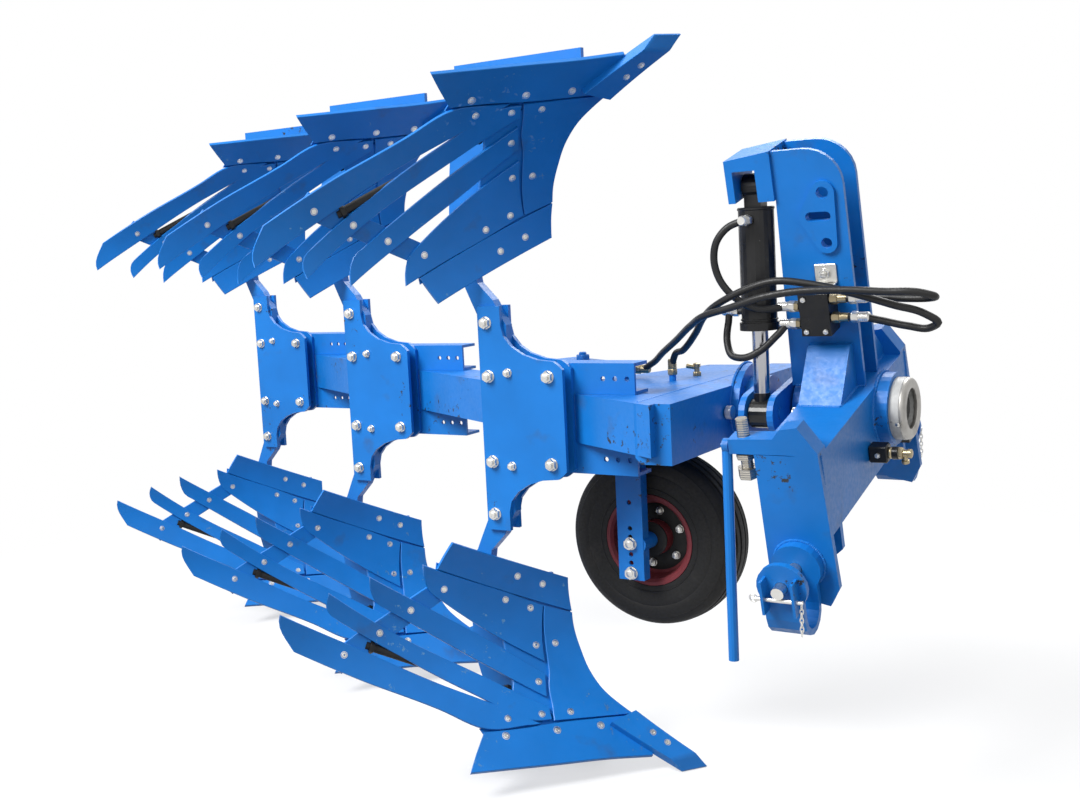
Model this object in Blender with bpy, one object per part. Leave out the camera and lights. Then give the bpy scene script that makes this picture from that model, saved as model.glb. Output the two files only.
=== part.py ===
"""Three-furrow reversible mouldboard plough with slatted mouldboards.

Metres, +Z up.  +X points forward, towards the tractor, and +Y to the left of the travel.
The origin is the centre of the spindle cap's front face, on the axis about which the frame
turns over.  The right-hand bodies hang below that axis and stand on the ground, and the
left-hand bodies are their mirror image above it.  The headstock leans about the same axis,
as it does when the tractor's right wheels run in the furrow.
"""

import math

import bmesh
import bpy
from mathutils import Matrix, Vector

# Driving sizes of the whole plough
GROUND = 0.885  # drop from the spindle axis to the ground
STATIONS = 3  # pairs of bodies
BODY_PITCH = 0.80  # from one body to the next, along the travel
FURROW = 0.47  # cutting width of one body
HEAD_LEAN = math.radians(15)  # headstock against the bodies, near side down
OVERRUN = 0.02  # how far a cutter passes the faces that it cuts
SINK = 0.004  # how deep welded pieces run into each other
SEAT = 0.0003  # gap between faces that rest on each other
RUNNING = 0.0007  # radial clearance of pins and shafts

# Round pieces
SIDES_FINE = 36
SIDES = 24
SIDES_SMALL = 12
SIDES_HOLE = 8

# Mouldboard surface: x as a function of the distance d from the landside and the height h
FACE_START = -0.500  # x where d and h are zero
SWEEP_SHARE = 0.69  # how far the face falls back for each metre of width
RAKE_SHARE = 1.35  # how far it falls back for each metre of height, at the share
CURL_LENGTH = 0.704  # h * h / CURL_LENGTH brings it forward again higher up
TWIST_LENGTH = 6.67  # d * h / TWIST_LENGTH opens it towards the tail
LANDSIDE_Y = -0.150  # plane of the first body's landside
BOARD_WIDTH = 0.70  # landside to the tail of the lowest slat
BOARD_HEIGHT = 0.60  # ground to the top of the strip
SLAT_THICK = 0.008
SHARE_THICK = 0.012
BACKING_THICK = 0.012
TILE = 0.0007  # clearance between faceted faces of the same curve

# Outlines on that surface, as shares of BOARD_WIDTH and BOARD_HEIGHT
STRIP_TOP_SHARES = ((0.036, 0.740), (0.171, 0.817), (0.449, 0.975))
STRIP_LOW_SHARES = ((0.049, 0.597), (0.131, 0.646), (0.487, 0.868))
SHIN_EDGE_SHARES = ((0.049, 0.591), (0.061, 0.530), (0.073, 0.442), (0.085, 0.352), (0.083, 0.273),
                    (0.069, 0.223), (0.054, 0.182))
SHIN_SEAM_SHARES = ((0.136, 0.638), (0.158, 0.557), (0.184, 0.464), (0.212, 0.383), (0.247, 0.318),
                    (0.273, 0.258), (0.300, 0.208))
SLATS = (
    # top edge from root to tail, low edge from root to tail, cut between the tails
    {"top": ((0.140, 0.640), (0.271, 0.731), (0.400, 0.810), (0.536, 0.895)),
     "low": ((0.209, 0.420), (0.300, 0.520), (0.400, 0.640), (0.493, 0.753)),
     "cut": ((0.511, 0.780), (0.526, 0.830))},
    {"top": ((0.229, 0.375), (0.357, 0.543), (0.500, 0.690), (0.709, 0.880)),
     "low": ((0.271, 0.292), (0.399, 0.450), (0.520, 0.590), (0.650, 0.728)),
     "cut": ((0.680, 0.758), (0.701, 0.817))},
    {"top": ((0.286, 0.257), (0.320, 0.293), (0.430, 0.415), (0.600, 0.585), (0.836, 0.838)),
     "low": ((0.305, 0.213), (0.350, 0.218), (0.480, 0.350), (0.640, 0.530), (0.811, 0.720)),
     "cut": ((0.834, 0.750), (0.843, 0.800))},
    {"top": ((0.345, 0.206), (0.450, 0.310), (0.561, 0.405), (0.760, 0.590), (0.986, 0.780)),
     "low": ((0.370, 0.207), (0.520, 0.228), (0.600, 0.312), (0.780, 0.465), (0.957, 0.622)),
     "cut": ((0.989, 0.755),)},
)
TAIL_BAR_SHARES = ((0.405, 0.812), (0.520, 0.742), (0.640, 0.668), (0.760, 0.600), (0.850, 0.545))
TAIL_BAR_WIDE = 0.050
BACK_ROWS_SHARES = (0.235, 0.300, 0.360, 0.420, 0.480, 0.540, 0.620, 0.700, 0.770)
BACK_LAND_SHARES = (0.115, 0.120, 0.125, 0.125, 0.115, 0.105, 0.090, 0.085, 0.080)
BACK_TAIL_SHARES = (0.480, 0.380, 0.340, 0.320, 0.310, 0.300, 0.300, 0.300, 0.300)
SEAT_ROWS_SHARES = (0.130, 0.160, 0.210, 0.255, 0.300)
SEAT_LAND_SHARES = (0.110, 0.110, 0.110, 0.110, 0.115)
SEAT_TAIL_SHARES = (0.540, 0.520, 0.500, 0.480, 0.400)
SHARE_TOP_SHARES = ((0.050, 0.176), (0.170, 0.188), (0.300, 0.199), (0.410, 0.202), (0.523, 0.213))
SHARE_EDGE_SHARES = ((0.110, 0.040), (0.240, 0.058), (0.380, 0.070), (0.520, 0.083), (0.649, 0.095))
TIE_START_SHARES = (0.735, 0.600)
TIE_END_SHARES = (0.345, 0.335)
TIE_RADIUS = 0.011

# Point bar bolted on the share
POINT_THICK = 0.020
POINT_ROOT_SHARES = ((0.053, 0.182), (0.153, 0.158))
POINT_TIP_SHARES = ((-0.007, -0.023), (0.077, -0.023))
POINT_BEVEL_SHARE = 0.17  # of the bar's length, on top of its tip

# Shank, frog and landside
SHANK_THICK = 0.0294
SHANK_Y = -0.330
SHANK_REAR = -0.950
SHANK_WIDE = 0.070
SHANK_ROWS_SHARES = (0.300, 0.360, 0.420, 0.480, 0.540, 0.620, 0.700, 0.770, 0.840, 0.900)
SHANK_WIDTHS = (0.140, 0.133, 0.120, 0.104, 0.090, 0.077, 0.067, 0.064, 0.064, 0.042)
SHANK_START = 0.012  # half of the gap between the lower and the upper shank
FROG_BOX = ((-0.945, -0.868), (0.045, 0.178))  # x and height of the cross box
LANDSIDE_THICK = 0.014
LANDSIDE_FRONT = -0.735
LANDSIDE_REAR = -1.110
LANDSIDE_TALL = 0.095
FOOT_DROP = 0.0168  # how far landside and point reach below the height that the face is measured from

# Clamp plates that hold both shanks of a station
PLATE_THICK = 0.012
PLATE_LONG = 0.235
PLATE_HALF = 0.283
PLATE_SHOULDER = 0.135
PLATE_NECK = 0.066
PLATE_WAIST = 0.235
PLATE_ARC = 5
PLATE_REAR = -0.955
PLATE_CORNER = 0.010
NEAR_FACE = SHANK_Y - SHANK_THICK / 2
FAR_FACE = SHANK_Y + SHANK_THICK / 2

# Channels that clamp a station to the beam
CHANNEL_TALL = 0.076
CHANNEL_DEEP = 0.070
CHANNEL_WALL = 0.008
CHANNEL_FRONT = -0.556
CHANNEL_HOLE = 0.0065
CHANNEL_HOLE_EDGE = 0.020
CHANNEL_HOLE_PITCH = 0.032
CHANNEL_HOLES = 3

# Main frame
BEAM_SIDE = 0.120
BEAM_X = -0.730  # where the beam's centre line crosses BEAM_Y
BEAM_Y = -0.2272
BEAM_SLOPE = FURROW / BODY_PITCH
BEAM_REAR = -2.640
BEAM_FRONT = -0.440
BLOCK_FRONT = -0.402
BLOCK_REAR = -0.492
BLOCK_NEAR = -0.440
BLOCK_FAR = 0.400
BLOCK_DROP = 0.080
BLOCK_CHAMFER = 0.014
GUSSET_THICK = 0.012
GUSSET_SHARES = ((0.0, -0.40), (0.0, 0.39), (-0.26, 0.38), (-0.46, -0.10), (-0.40, -0.19))
PORT_RADIUS = 0.013
PORT_TALL = 0.020

# Yoke between the spindle and the block, which carries the turnover crank
CRANK_RADIUS = 0.136
CYLINDER_X = -0.308
EYE_WIDE = 0.044
EYE_RADIUS = 0.035
EYE_SIDE = 0.005  # clearance on each side of an eye
CHEEK_THICK = 0.015
CHEEK_HUB = 0.075
CHEEK_NOSE = 0.048
WEB_NEAR = 0.050
WEB_THICK = 0.016
WEB_HALF = 0.062
SHAFT_RADIUS = 0.050
FLANGE_RADIUS = 0.105
FLANGE_THICK = 0.020
PIN_RADIUS = 0.014
PIN_STUB = 0.004

# Headstock, in its own leaning frame
ARM_REAR = -0.205
ARM_FRONT = -0.065
ARM_TOP = 0.075
ARM_LOW = -0.123
ARM_NEAR = 0.450  # spindle axis to the outer face of the near end plate
ARM_FAR = 0.200  # and to that of the far one
END_THICK = 0.016
END_NOSE = -0.280
END_HEEL = -0.200
END_FORWARD = 0.012
HOUSING_FRONT = -0.035
HOUSING_RADIUS = 0.085
HOUSING_REAR = -0.260
HOUSING_REAR_RADIUS = 0.074
CAP_RADIUS = 0.0735
CAP_RING = 0.052
CAP_BOSS = 0.024
CAP_DISH = 0.012
BRACE_TOP = 0.183
BRACE_FOOT = 0.178
BRACE_CROWN = 0.018
BRACE_INSET = 0.002
LUG_INSET = 0.078  # outer face of the inner lug, in from the end plate's
LUG_THICK = 0.016
LUG_DROP = 0.095
LUG_RIM = 0.005  # how far the lug reaches past the strap's eye
MAST_Y = 0.046  # middle of each mast plate
MAST_THICK = 0.012
MAST_FRONT = -0.087
MAST_TOP = 0.640
MAST_CROWN = 0.085
MAST_HEAD_REAR = -0.2425
MAST_FOOT_REAR = -0.258
HEAD_LOW = 0.528
HEAD_REAR = -0.352
HEAD_HALF = 0.060
HEAD_TOP_REAR = 0.628
HEAD_TOP_FRONT = 0.643
HEAD_SLOT_TOP = 0.602
PAD_THICK = 0.008
LINK_HOLES = ((-0.133, 0.540, 0.0140, 0.027), (-0.135, 0.424, 0.0125, 0.024))  # x, z, hole, pad
SLOT_X = -0.148
SLOT_Z = 0.486
SLOT_HALF = 0.018
SLOT_RADIUS = 0.011
SLOT_PAD = 0.026
STOP_THICK = 0.046
STOP_SHARES = ((1.0, 0.0), (0.0, 0.006), (-1.0, 0.004), (-1.06, 0.038), (-0.35, 0.042), (-0.10, 0.064),
               (0.45, 0.070), (1.0, 0.012))
STOP_REACH = 0.055
STOP_BOLT_X = -0.232
STOP_BOLT_RADIUS = 0.013
STOP_BOLT_LOW = 0.012
STOP_BOLT_TOP = 0.150
NUT_RADIUS = 0.023
NUT_TALL = 0.024

# Lower-link hitches
HITCH_X = -0.135
HITCH_Z = -0.180
HITCH_PIN = 0.0140
HITCH_DISC = 0.055
HITCH_STACK = 0.012
STRAP_WIDE = 0.086
STRAP_THICK = 0.014
STRAP_GAP = 0.074
STRAP_LOW = -0.310
STRAP_ARC = 8
PIN_TAIL = 0.026
LOCK_HALF = 0.034
LOCK_THICK = 0.006
LOCK_DEEP = 0.030
LOCK_TALL = 0.052

# Turnover cylinder, hung from the mast head
PIVOT_Z = 0.553
BARREL_RADIUS = 0.041
BARREL_TOP = 0.055
BARREL_END = 0.335
GLAND_RADIUS = 0.046
GLAND_TALL = 0.018
ROD_RADIUS = 0.019
ROD_START = 0.205
FORK_RADIUS = 0.029
BORE_TOP = 0.085
BARREL_PORT_TOP = 0.078  # below the pivot, on the near side
BARREL_PORT_LOW = 0.290  # below the pivot, on the rear side
PORT_REACH = 0.015
PORT_PIPE = 0.009

# Valve block on the mast, and the coupler under the spindle
VALVE_X = (-0.197, -0.129)
VALVE_Z = (0.221, 0.320)
VALVE_DEEP = 0.060
VALVE_REAR_PORTS = (0.290, 0.248)
VALVE_FRONT_PORTS = (0.306, 0.262)
FITTING_RADIUS = 0.009
FITTING_REAR = 0.018
FITTING_FRONT = 0.052
FITTING_Y = -0.100
COUPLER_SIZE = (0.030, 0.060, 0.050)
COUPLER_Y = 0.090
COUPLER_Z = -0.090

# Hanging stand rod
STAND_RADIUS = 0.0115
STAND_LENGTH = 0.485
STAND_EYE = 0.016
STAND_EYE_THICK = 0.014
STAND_STUB = 0.006
STAND_STUB_LONG = 0.026
STAND_Z = 0.085
STAND_GAP = 0.006

# Depth wheel
WHEEL_X = -0.634
WHEEL_Y = -0.040
WHEEL_Z = -0.340
AXLE_RADIUS = 0.020
HUB_RADIUS = 0.045
HUB_HALF = 0.045
RIM_SEAT = 0.110
RIM_LIP = 0.119
RIM_HALF = 0.066
RIM_WALL = 0.007
DISC_NEAR = 0.016
DISC_THICK = 0.008
TYRE_RADIUS = 0.2285
TYRE_HALF = 0.0680
TYRE_SHARES = ((0.65, 1.0), (0.81, 1.0), (0.93, 0.86), (0.985, 0.62), (1.0, 0.0))  # of the radius and the half width
LEG_X = -0.655
LEG_WIDE = 0.070
LEG_DEEP = 0.032
LEG_WALL = 0.007
LEG_Y = -0.165
LEG_FLANGE = ((-0.705, -0.605), (-0.1715, -0.098))  # x and y of the flange under the frame's bottom plate
LEG_FLANGE_THICK = 0.014
LEG_LOW = -0.432
LEG_HOLE = 0.0065
LEG_HOLES = (-0.232, -0.299, -0.321, -0.366, -0.388)

# Hydraulic hoses.  Each runs straight out of its fittings and then through its own points.
HOSE_RADIUS = 0.0085
HOSE_POINTS = 2  # along each stretch between two route points
HOSE_LEAD = 0.013  # straight part at each end
# Points of the headstock's leaning frame
HOSE_TOP_ROUTE = ((-0.345, -0.098, 0.484), (-0.372, -0.110, 0.455), (-0.382, -0.116, 0.415), (-0.374, -0.120, 0.368),
                  (-0.338, -0.121, 0.318), (-0.290, -0.120, 0.292), (-0.250, -0.108, 0.289))
HOSE_LOW_ROUTE = ((-0.252, -0.116, 0.228), (-0.290, -0.136, 0.196), (-0.330, -0.142, 0.180), (-0.364, -0.132, 0.182),
                  (-0.382, -0.108, 0.206), (-0.384, -0.082, 0.245))
HOSE_OUT_ROUTE = ((-0.018, -0.103, 0.308), (0.042, -0.104, 0.304), (0.093, -0.113, 0.307), (0.109, -0.129, 0.315),
                  (0.085, -0.145, 0.330), (0.010, -0.155, 0.338), (-0.080, -0.161, 0.346), (-0.180, -0.170, 0.348),
                  (-0.260, -0.177, 0.338), (-0.330, -0.174, 0.316), (-0.405, -0.159, 0.292), (-0.472, -0.105, 0.247))
HOSE_BACK_ROUTE = ((-0.023, -0.101, 0.254), (0.037, -0.104, 0.241), (0.084, -0.106, 0.236), (0.105, -0.112, 0.250),
                   (0.080, -0.119, 0.274), (0.022, -0.130, 0.298), (-0.060, -0.135, 0.328), (-0.150, -0.140, 0.354),
                   (-0.235, -0.146, 0.366), (-0.300, -0.150, 0.350), (-0.370, -0.146, 0.318), (-0.437, -0.100, 0.266),
                   (-0.482, -0.059, 0.213))
# Points of the level frame
HOSE_OUT_END = ((-0.545, -0.088, 0.171), (-0.616, -0.018, 0.133), (-0.680, 0.042, 0.096))
HOSE_BACK_END = ((-0.545, -0.052, 0.142), (-0.586, -0.012, 0.126))
FRAME_PORT_FLAT = (-0.725, 0.055, 0.082)
FRAME_PORT_TALL = (-0.600, 0.000, 0.080)

# Colours, roughness and metallic values
BLUE = ((0.011, 0.130, 0.560), 0.42, 0.0)
BLACK = ((0.012, 0.012, 0.013), 0.45, 0.0)
RUBBER = ((0.020, 0.019, 0.018), 0.85, 0.0)
RED = ((0.300, 0.020, 0.025), 0.55, 0.0)
CHROME = ((0.62, 0.62, 0.63), 0.15, 1.0)
ZINC = ((0.50, 0.50, 0.48), 0.40, 1.0)
WORN = ((0.62, 0.62, 0.60), 0.45, 0.6)


def clear_scene():
    for obj in list(bpy.data.objects):
        bpy.data.objects.remove(obj)


def material(name, look):
    colour, roughness, metallic = look
    made = bpy.data.materials.new(name)
    made.use_nodes = True
    shader = made.node_tree.nodes["Principled BSDF"]
    shader.inputs["Base Color"].default_value = (*colour, 1.0)
    shader.inputs["Roughness"].default_value = roughness
    shader.inputs["Metallic"].default_value = metallic
    return made


def place(name, mesh, look=None, at=(0, 0, 0), parent=None):
    obj = bpy.data.objects.new(name, mesh)
    bpy.context.scene.collection.objects.link(obj)
    obj.location = at
    obj.parent = parent
    if look:
        mesh.materials.clear()
        mesh.materials.append(material(name, look))
    return obj


def mesh_of(verts, faces, name="piece"):
    """A closed mesh from its points and faces, with the faces turned outwards."""
    mesh = bpy.data.meshes.new(name)
    mesh.from_pydata([tuple(v) for v in verts], [], faces)
    grid = bmesh.new()
    grid.from_mesh(mesh)
    bmesh.ops.recalc_face_normals(grid, faces=grid.faces)
    grid.to_mesh(mesh)
    grid.free()
    return mesh


# Which coordinates an outline's two numbers are, for each direction of its extrusion
PLANES = {"X": (1, 2, 0), "Y": (0, 2, 1), "Z": (0, 1, 2)}


def prism(outline, axis, low, high):
    """The outline, drawn in the plane across the axis, extruded along it."""
    first, second, along = PLANES[axis]
    count = len(outline)
    verts = []
    for level in (low, high):
        for a, b in outline:
            point = [0.0, 0.0, 0.0]
            point[first], point[second], point[along] = a, b, level
            verts.append(point)
    faces = [tuple(range(count)), tuple(range(2 * count - 1, count - 1, -1))]
    for i in range(count):
        j = (i + 1) % count
        faces.append((i, i + count, j + count, j))
    return mesh_of(verts, faces)


def box(x, y, z):
    """A box from the two ends along each axis."""
    return prism(((x[0], y[0]), (x[1], y[0]), (x[1], y[1]), (x[0], y[1])), "Z", *z)


def circle(centre, radius, sides=SIDES, start=0.0, sweep=2 * math.pi):
    """Points round a circle, or along part of one when sweep is less than a full turn."""
    whole = abs(sweep) >= 2 * math.pi
    steps = sides if whole else sides - 1
    return [
        (centre[0] + radius * math.cos(angle), centre[1] + radius * math.sin(angle))
        for angle in (start + sweep * i / steps for i in range(sides))
    ]


def rod(axis, centre, radius, low, high, sides=SIDES):
    """A round bar along an axis, about the two other coordinates of its centre."""
    return prism(circle(centre, radius, sides), axis, low, high)


def revolve(profile, axis, centre, sides):
    """A closed profile of (radius, place along the axis), turned about the axis."""
    first, second, along = PLANES[axis]
    count = len(profile)
    verts = []
    for i in range(sides):
        angle = 2 * math.pi * i / sides
        for radius, level in profile:
            point = [0.0, 0.0, 0.0]
            point[first] = centre[0] + radius * math.cos(angle)
            point[second] = centre[1] + radius * math.sin(angle)
            point[along] = level
            verts.append(point)
    faces = []
    for i in range(sides):
        near, far = i * count, ((i + 1) % sides) * count
        for j in range(count):
            k = (j + 1) % count
            faces.append((near + j, near + k, far + k, far + j))
    return mesh_of(verts, faces)


def hull(circles, sides=SIDES):
    """The convex outline round several circles, each a centre and a radius."""
    points = sorted(p for centre, radius in circles for p in circle(centre, radius, sides))

    def half(row):
        kept = []
        for p in row:
            while len(kept) > 1 and cross(kept[-2], kept[-1], p) <= 0:
                kept.pop()
            kept.append(p)
        return kept[:-1]

    return half(points) + half(points[::-1])


def cross(a, b, c):
    return (b[0] - a[0]) * (c[1] - a[1]) - (b[1] - a[1]) * (c[0] - a[0])


def combine(base, joined=(), cut=()):
    """The base mesh with other meshes welded on, and then with cutters taken away."""
    target = place("target", base)
    helpers = []
    groups = []
    for operation, meshes in (("UNION", joined), ("DIFFERENCE", cut)):
        if not meshes:
            continue
        group = bpy.data.collections.new(operation)
        bpy.context.scene.collection.children.link(group)
        groups.append(group)
        for mesh in meshes:
            helper = bpy.data.objects.new("helper", mesh)
            group.objects.link(helper)
            helper.hide_render = True
            helper.display_type = "WIRE"
            helpers.append(helper)
        step = target.modifiers.new(operation, "BOOLEAN")
        step.operation = operation
        step.solver = "EXACT"
        step.operand_type = "COLLECTION"
        step.collection = group
    bpy.context.view_layer.update()
    graph = bpy.context.evaluated_depsgraph_get()
    result = bpy.data.meshes.new_from_object(target.evaluated_get(graph))
    for obj in (target, *helpers):
        bpy.data.objects.remove(obj)
    for group in groups:
        bpy.data.collections.remove(group)
    result.materials.clear()
    return result


def mirrored(mesh, axis):
    """A copy of the mesh, reflected along one axis."""
    copy = mesh.copy()
    scale = [1.0, 1.0, 1.0]
    scale["XYZ".index(axis)] = -1.0
    copy.transform(Matrix.Diagonal((*scale, 1.0)))
    copy.flip_normals()
    return copy


def smooth(mesh):
    mesh.shade_smooth()
    mesh.set_sharp_from_angle(angle=math.radians(40))
    return mesh


# The mouldboard surface


def face_x(d, h):
    """Where the mouldboard's face lies along the travel, at d from the landside and h above ground."""
    return FACE_START - SWEEP_SHARE * d - RAKE_SHARE * h + h * h / CURL_LENGTH + d * h / TWIST_LENGTH


def face_normal(d, h):
    across = -SWEEP_SHARE + h / TWIST_LENGTH
    upwards = -RAKE_SHARE + 2 * h / CURL_LENGTH + d / TWIST_LENGTH
    return Vector((1.0, across, -upwards)).normalized()


def on_face(d, h, depth=0.0):
    """The point at d and h on the face, moved back into the plate by the depth."""
    point = Vector((face_x(d, h), LANDSIDE_Y - d, h - GROUND))
    return point - depth * face_normal(d, h)


def from_shares(shares):
    return [(d * BOARD_WIDTH, h * BOARD_HEIGHT) for d, h in shares]


def face_plate(points, faces, front, back):
    """A plate that follows the face between two depths, from points (d, h) and the faces between them."""
    count = len(points)
    verts = [on_face(d, h, front) for d, h in points]
    verts += [on_face(d, h, back) for d, h in points]
    solid = [tuple(f) for f in faces]
    solid += [tuple(i + count for i in reversed(f)) for f in faces]
    edges = {(f[i], f[(i + 1) % len(f)]) for f in faces for i in range(len(f))}
    solid += [(b, a, a + count, b + count) for a, b in edges if (b, a) not in edges]
    return mesh_of(verts, sorted(solid))


def strip_plate(first, second, front, back, tail=()):
    """A plate between two edges with as many points each, closed at the far end through the tail's points."""
    count = len(first)
    points = [*first, *second, *tail]
    faces = [(i, i + 1, i + 1 + count, i + count) for i in range(count - 1)]
    if tail:
        end = (count - 1, *range(2 * count + len(tail) - 1, 2 * count - 1, -1), 2 * count - 1)
        faces.append(end)
    return face_plate(points, faces, front, back)


def band_plate(rows, land, tail, front, back):
    """A plate with level rows, from its landside ends to its tail ends."""
    heights = [h * BOARD_HEIGHT for h in rows]
    first = [(d * BOARD_WIDTH, h) for d, h in zip(land, heights)]
    second = [(d * BOARD_WIDTH, h) for d, h in zip(tail, heights)]
    return strip_plate(first, second, front, back)


def offset_edge(edge, width):
    """A broken line moved sideways by the width, in the plane of d and h."""
    moved = []
    for i, (d, h) in enumerate(edge):
        before = edge[max(i - 1, 0)]
        after = edge[min(i + 1, len(edge) - 1)]
        along = Vector((after[0] - before[0], after[1] - before[1])).normalized()
        moved.append((d - along.y * width, h + along.x * width))
    return moved


def tube_between(start, end, radius, sides):
    """A straight round bar between two points."""
    along = (end - start).normalized()
    side = along.orthogonal().normalized()
    other = along.cross(side)
    verts = []
    for centre in (start, end):
        for i in range(sides):
            angle = 2 * math.pi * i / sides
            verts.append(centre + radius * (math.cos(angle) * side + math.sin(angle) * other))
    faces = [tuple(range(sides)), tuple(range(2 * sides - 1, sides - 1, -1))]
    faces += [(i, i + sides, (i + 1) % sides + sides, (i + 1) % sides) for i in range(sides)]
    return mesh_of(verts, faces)


def board_mesh():
    """Shin, strip and four slats on their backing plate, with the bar across the tails and its tie rod."""
    back = SLAT_THICK - SINK
    shin = strip_plate(from_shares(SHIN_SEAM_SHARES), from_shares(SHIN_EDGE_SHARES), 0.0, SLAT_THICK)
    strip = strip_plate(from_shares(STRIP_LOW_SHARES), from_shares(STRIP_TOP_SHARES), 0.0, SLAT_THICK)
    backing = band_plate(BACK_ROWS_SHARES, BACK_LAND_SHARES, BACK_TAIL_SHARES, back, SLAT_THICK + BACKING_THICK)
    seat_front = SHARE_THICK + TILE
    seat = band_plate(SEAT_ROWS_SHARES, SEAT_LAND_SHARES, SEAT_TAIL_SHARES, seat_front, seat_front + BACKING_THICK)
    bar_low = from_shares(TAIL_BAR_SHARES)
    bar_centre = offset_edge(bar_low, TAIL_BAR_WIDE / 2)
    bar_low = offset_edge(bar_centre, -TAIL_BAR_WIDE)
    bar = strip_plate(bar_low, bar_centre, back, SLAT_THICK + SLAT_THICK)
    slats = [
        strip_plate(from_shares(s["low"]), from_shares(s["top"]), 0.0, SLAT_THICK, from_shares(s["cut"][::-1]))
        for s in SLATS
    ]
    start_d, start_h = from_shares((TIE_START_SHARES,))[0]
    end_d, end_h = from_shares((TIE_END_SHARES,))[0]
    tie_ends = (on_face(start_d, start_h, SLAT_THICK), on_face(end_d, end_h, SLAT_THICK + SINK))
    tie = tube_between(*tie_ends, TIE_RADIUS, SIDES_SMALL)
    return combine(backing, (seat, shin, strip, *slats, bar, tie))


def point_bar():
    """The bar bolted on the share, running down to the tip, as a bevelled flat bar."""
    root = from_shares(POINT_ROOT_SHARES)
    tip = from_shares(POINT_TIP_SHARES)
    verts = []
    for (root_d, root_h), (tip_d, tip_h) in zip(root, tip):
        bevel_d = tip_d + (root_d - tip_d) * POINT_BEVEL_SHARE
        bevel_h = tip_h + (root_h - tip_h) * POINT_BEVEL_SHARE
        verts.append(on_face(root_d, root_h, SINK))
        verts.append(on_face(tip_d, tip_h, SINK))
        verts.append(on_face(bevel_d, bevel_h, -POINT_THICK))
        verts.append(on_face(root_d, root_h, -POINT_THICK))
    faces = [(0, 1, 2, 3), (7, 6, 5, 4), (0, 4, 5, 1), (1, 5, 6, 2), (2, 6, 7, 3), (3, 7, 4, 0)]
    return mesh_of(verts, faces)


def share_mesh():
    """The share blade with its point bar."""
    blade = strip_plate(from_shares(SHARE_EDGE_SHARES), from_shares(SHARE_TOP_SHARES), 0.0, SHARE_THICK)
    return combine(blade, (point_bar(),))


def behind_board(h):
    """The x and z of the backing plate's rear face, plus clearance, in the shank's near face at a row."""
    depth = SLAT_THICK + BACKING_THICK + TILE
    d = LANDSIDE_Y - NEAR_FACE
    d -= depth * face_normal(d, h).y
    point = on_face(d, h, depth)
    return point.x, point.z


def shank_mesh():
    """The leg between the clamp plates, bent back behind the mouldboard, with frog box and landside."""
    front = [behind_board(h * BOARD_HEIGHT) for h in SHANK_ROWS_SHARES]
    rear = [(x - width, z) for (x, z), width in zip(front, SHANK_WIDTHS)]
    neck = -PLATE_HALF - SHANK_THICK / 2
    outline = [
        (SHANK_REAR, -SHANK_START),
        (SHANK_REAR + SHANK_WIDE, -SHANK_START),
        (SHANK_REAR + SHANK_WIDE, -PLATE_WAIST),
        (SHANK_REAR + SHANK_WIDE / 2, neck),
        *reversed(front),
        *rear,
        (SHANK_REAR - SHANK_THICK, neck),
        (SHANK_REAR, -PLATE_WAIST),
    ]
    leg = prism(outline, "Y", NEAR_FACE, FAR_FACE)
    (x_rear, x_front), (low, high) = FROG_BOX
    frog = box((x_rear, x_front), (NEAR_FACE + SINK, LANDSIDE_Y - SINK), (low - GROUND, high - GROUND))
    tall = (-FOOT_DROP - GROUND, LANDSIDE_TALL - GROUND)
    landside = box((LANDSIDE_REAR, LANDSIDE_FRONT), (LANDSIDE_Y - LANDSIDE_THICK, LANDSIDE_Y), tall)
    return combine(leg, (frog, landside))


def clamp_outline():
    """A clamp plate: wide in the middle, with hollow shoulders up to its narrow ends."""
    centre = (PLATE_LONG - 2 * PLATE_CORNER - SINK, PLATE_WAIST)
    a = centre[0] - PLATE_NECK
    b = PLATE_WAIST - PLATE_SHOULDER - PLATE_CORNER
    half = [(0.0, PLATE_HALF), (PLATE_NECK, PLATE_HALF)]
    for i in range(PLATE_ARC + 1):
        angle = math.pi / 2 * i / PLATE_ARC
        half.append((centre[0] - a * math.cos(angle), centre[1] - b * math.sin(angle)))
    half += [(PLATE_LONG - PLATE_CORNER, PLATE_SHOULDER), (PLATE_LONG, PLATE_SHOULDER - PLATE_CORNER)]
    outline = half + [(x, -z) for x, z in reversed(half)]
    return [(x + PLATE_REAR, z) for x, z in outline]


def channel_mesh():
    """The upper channel: web against the far clamp plate, flanges over the beam."""
    inner = BEAM_SIDE / 2 + SEAT
    web = FAR_FACE + PLATE_THICK + 2 * SEAT
    outline = (
        (web, inner),
        (web + CHANNEL_DEEP, inner),
        (web + CHANNEL_DEEP, inner + CHANNEL_WALL),
        (web + CHANNEL_WALL, inner + CHANNEL_WALL),
        (web + CHANNEL_WALL, inner + CHANNEL_TALL - CHANNEL_WALL),
        (web + CHANNEL_DEEP, inner + CHANNEL_TALL - CHANNEL_WALL),
        (web + CHANNEL_DEEP, inner + CHANNEL_TALL),
        (web, inner + CHANNEL_TALL),
    )
    bar = prism(outline, "X", PLATE_REAR, CHANNEL_FRONT)
    middle = inner + CHANNEL_TALL / 2
    holes = []
    for i in range(CHANNEL_HOLES):
        x = CHANNEL_FRONT - CHANNEL_HOLE_EDGE - i * CHANNEL_HOLE_PITCH
        holes.append(rod("Y", (x, middle), CHANNEL_HOLE, web - OVERRUN, web + CHANNEL_WALL + OVERRUN, SIDES_HOLE))
    return combine(bar, cut=holes)


# Frame


def beam_y(x):
    return BEAM_Y - BEAM_SLOPE * (x - BEAM_X)


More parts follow.
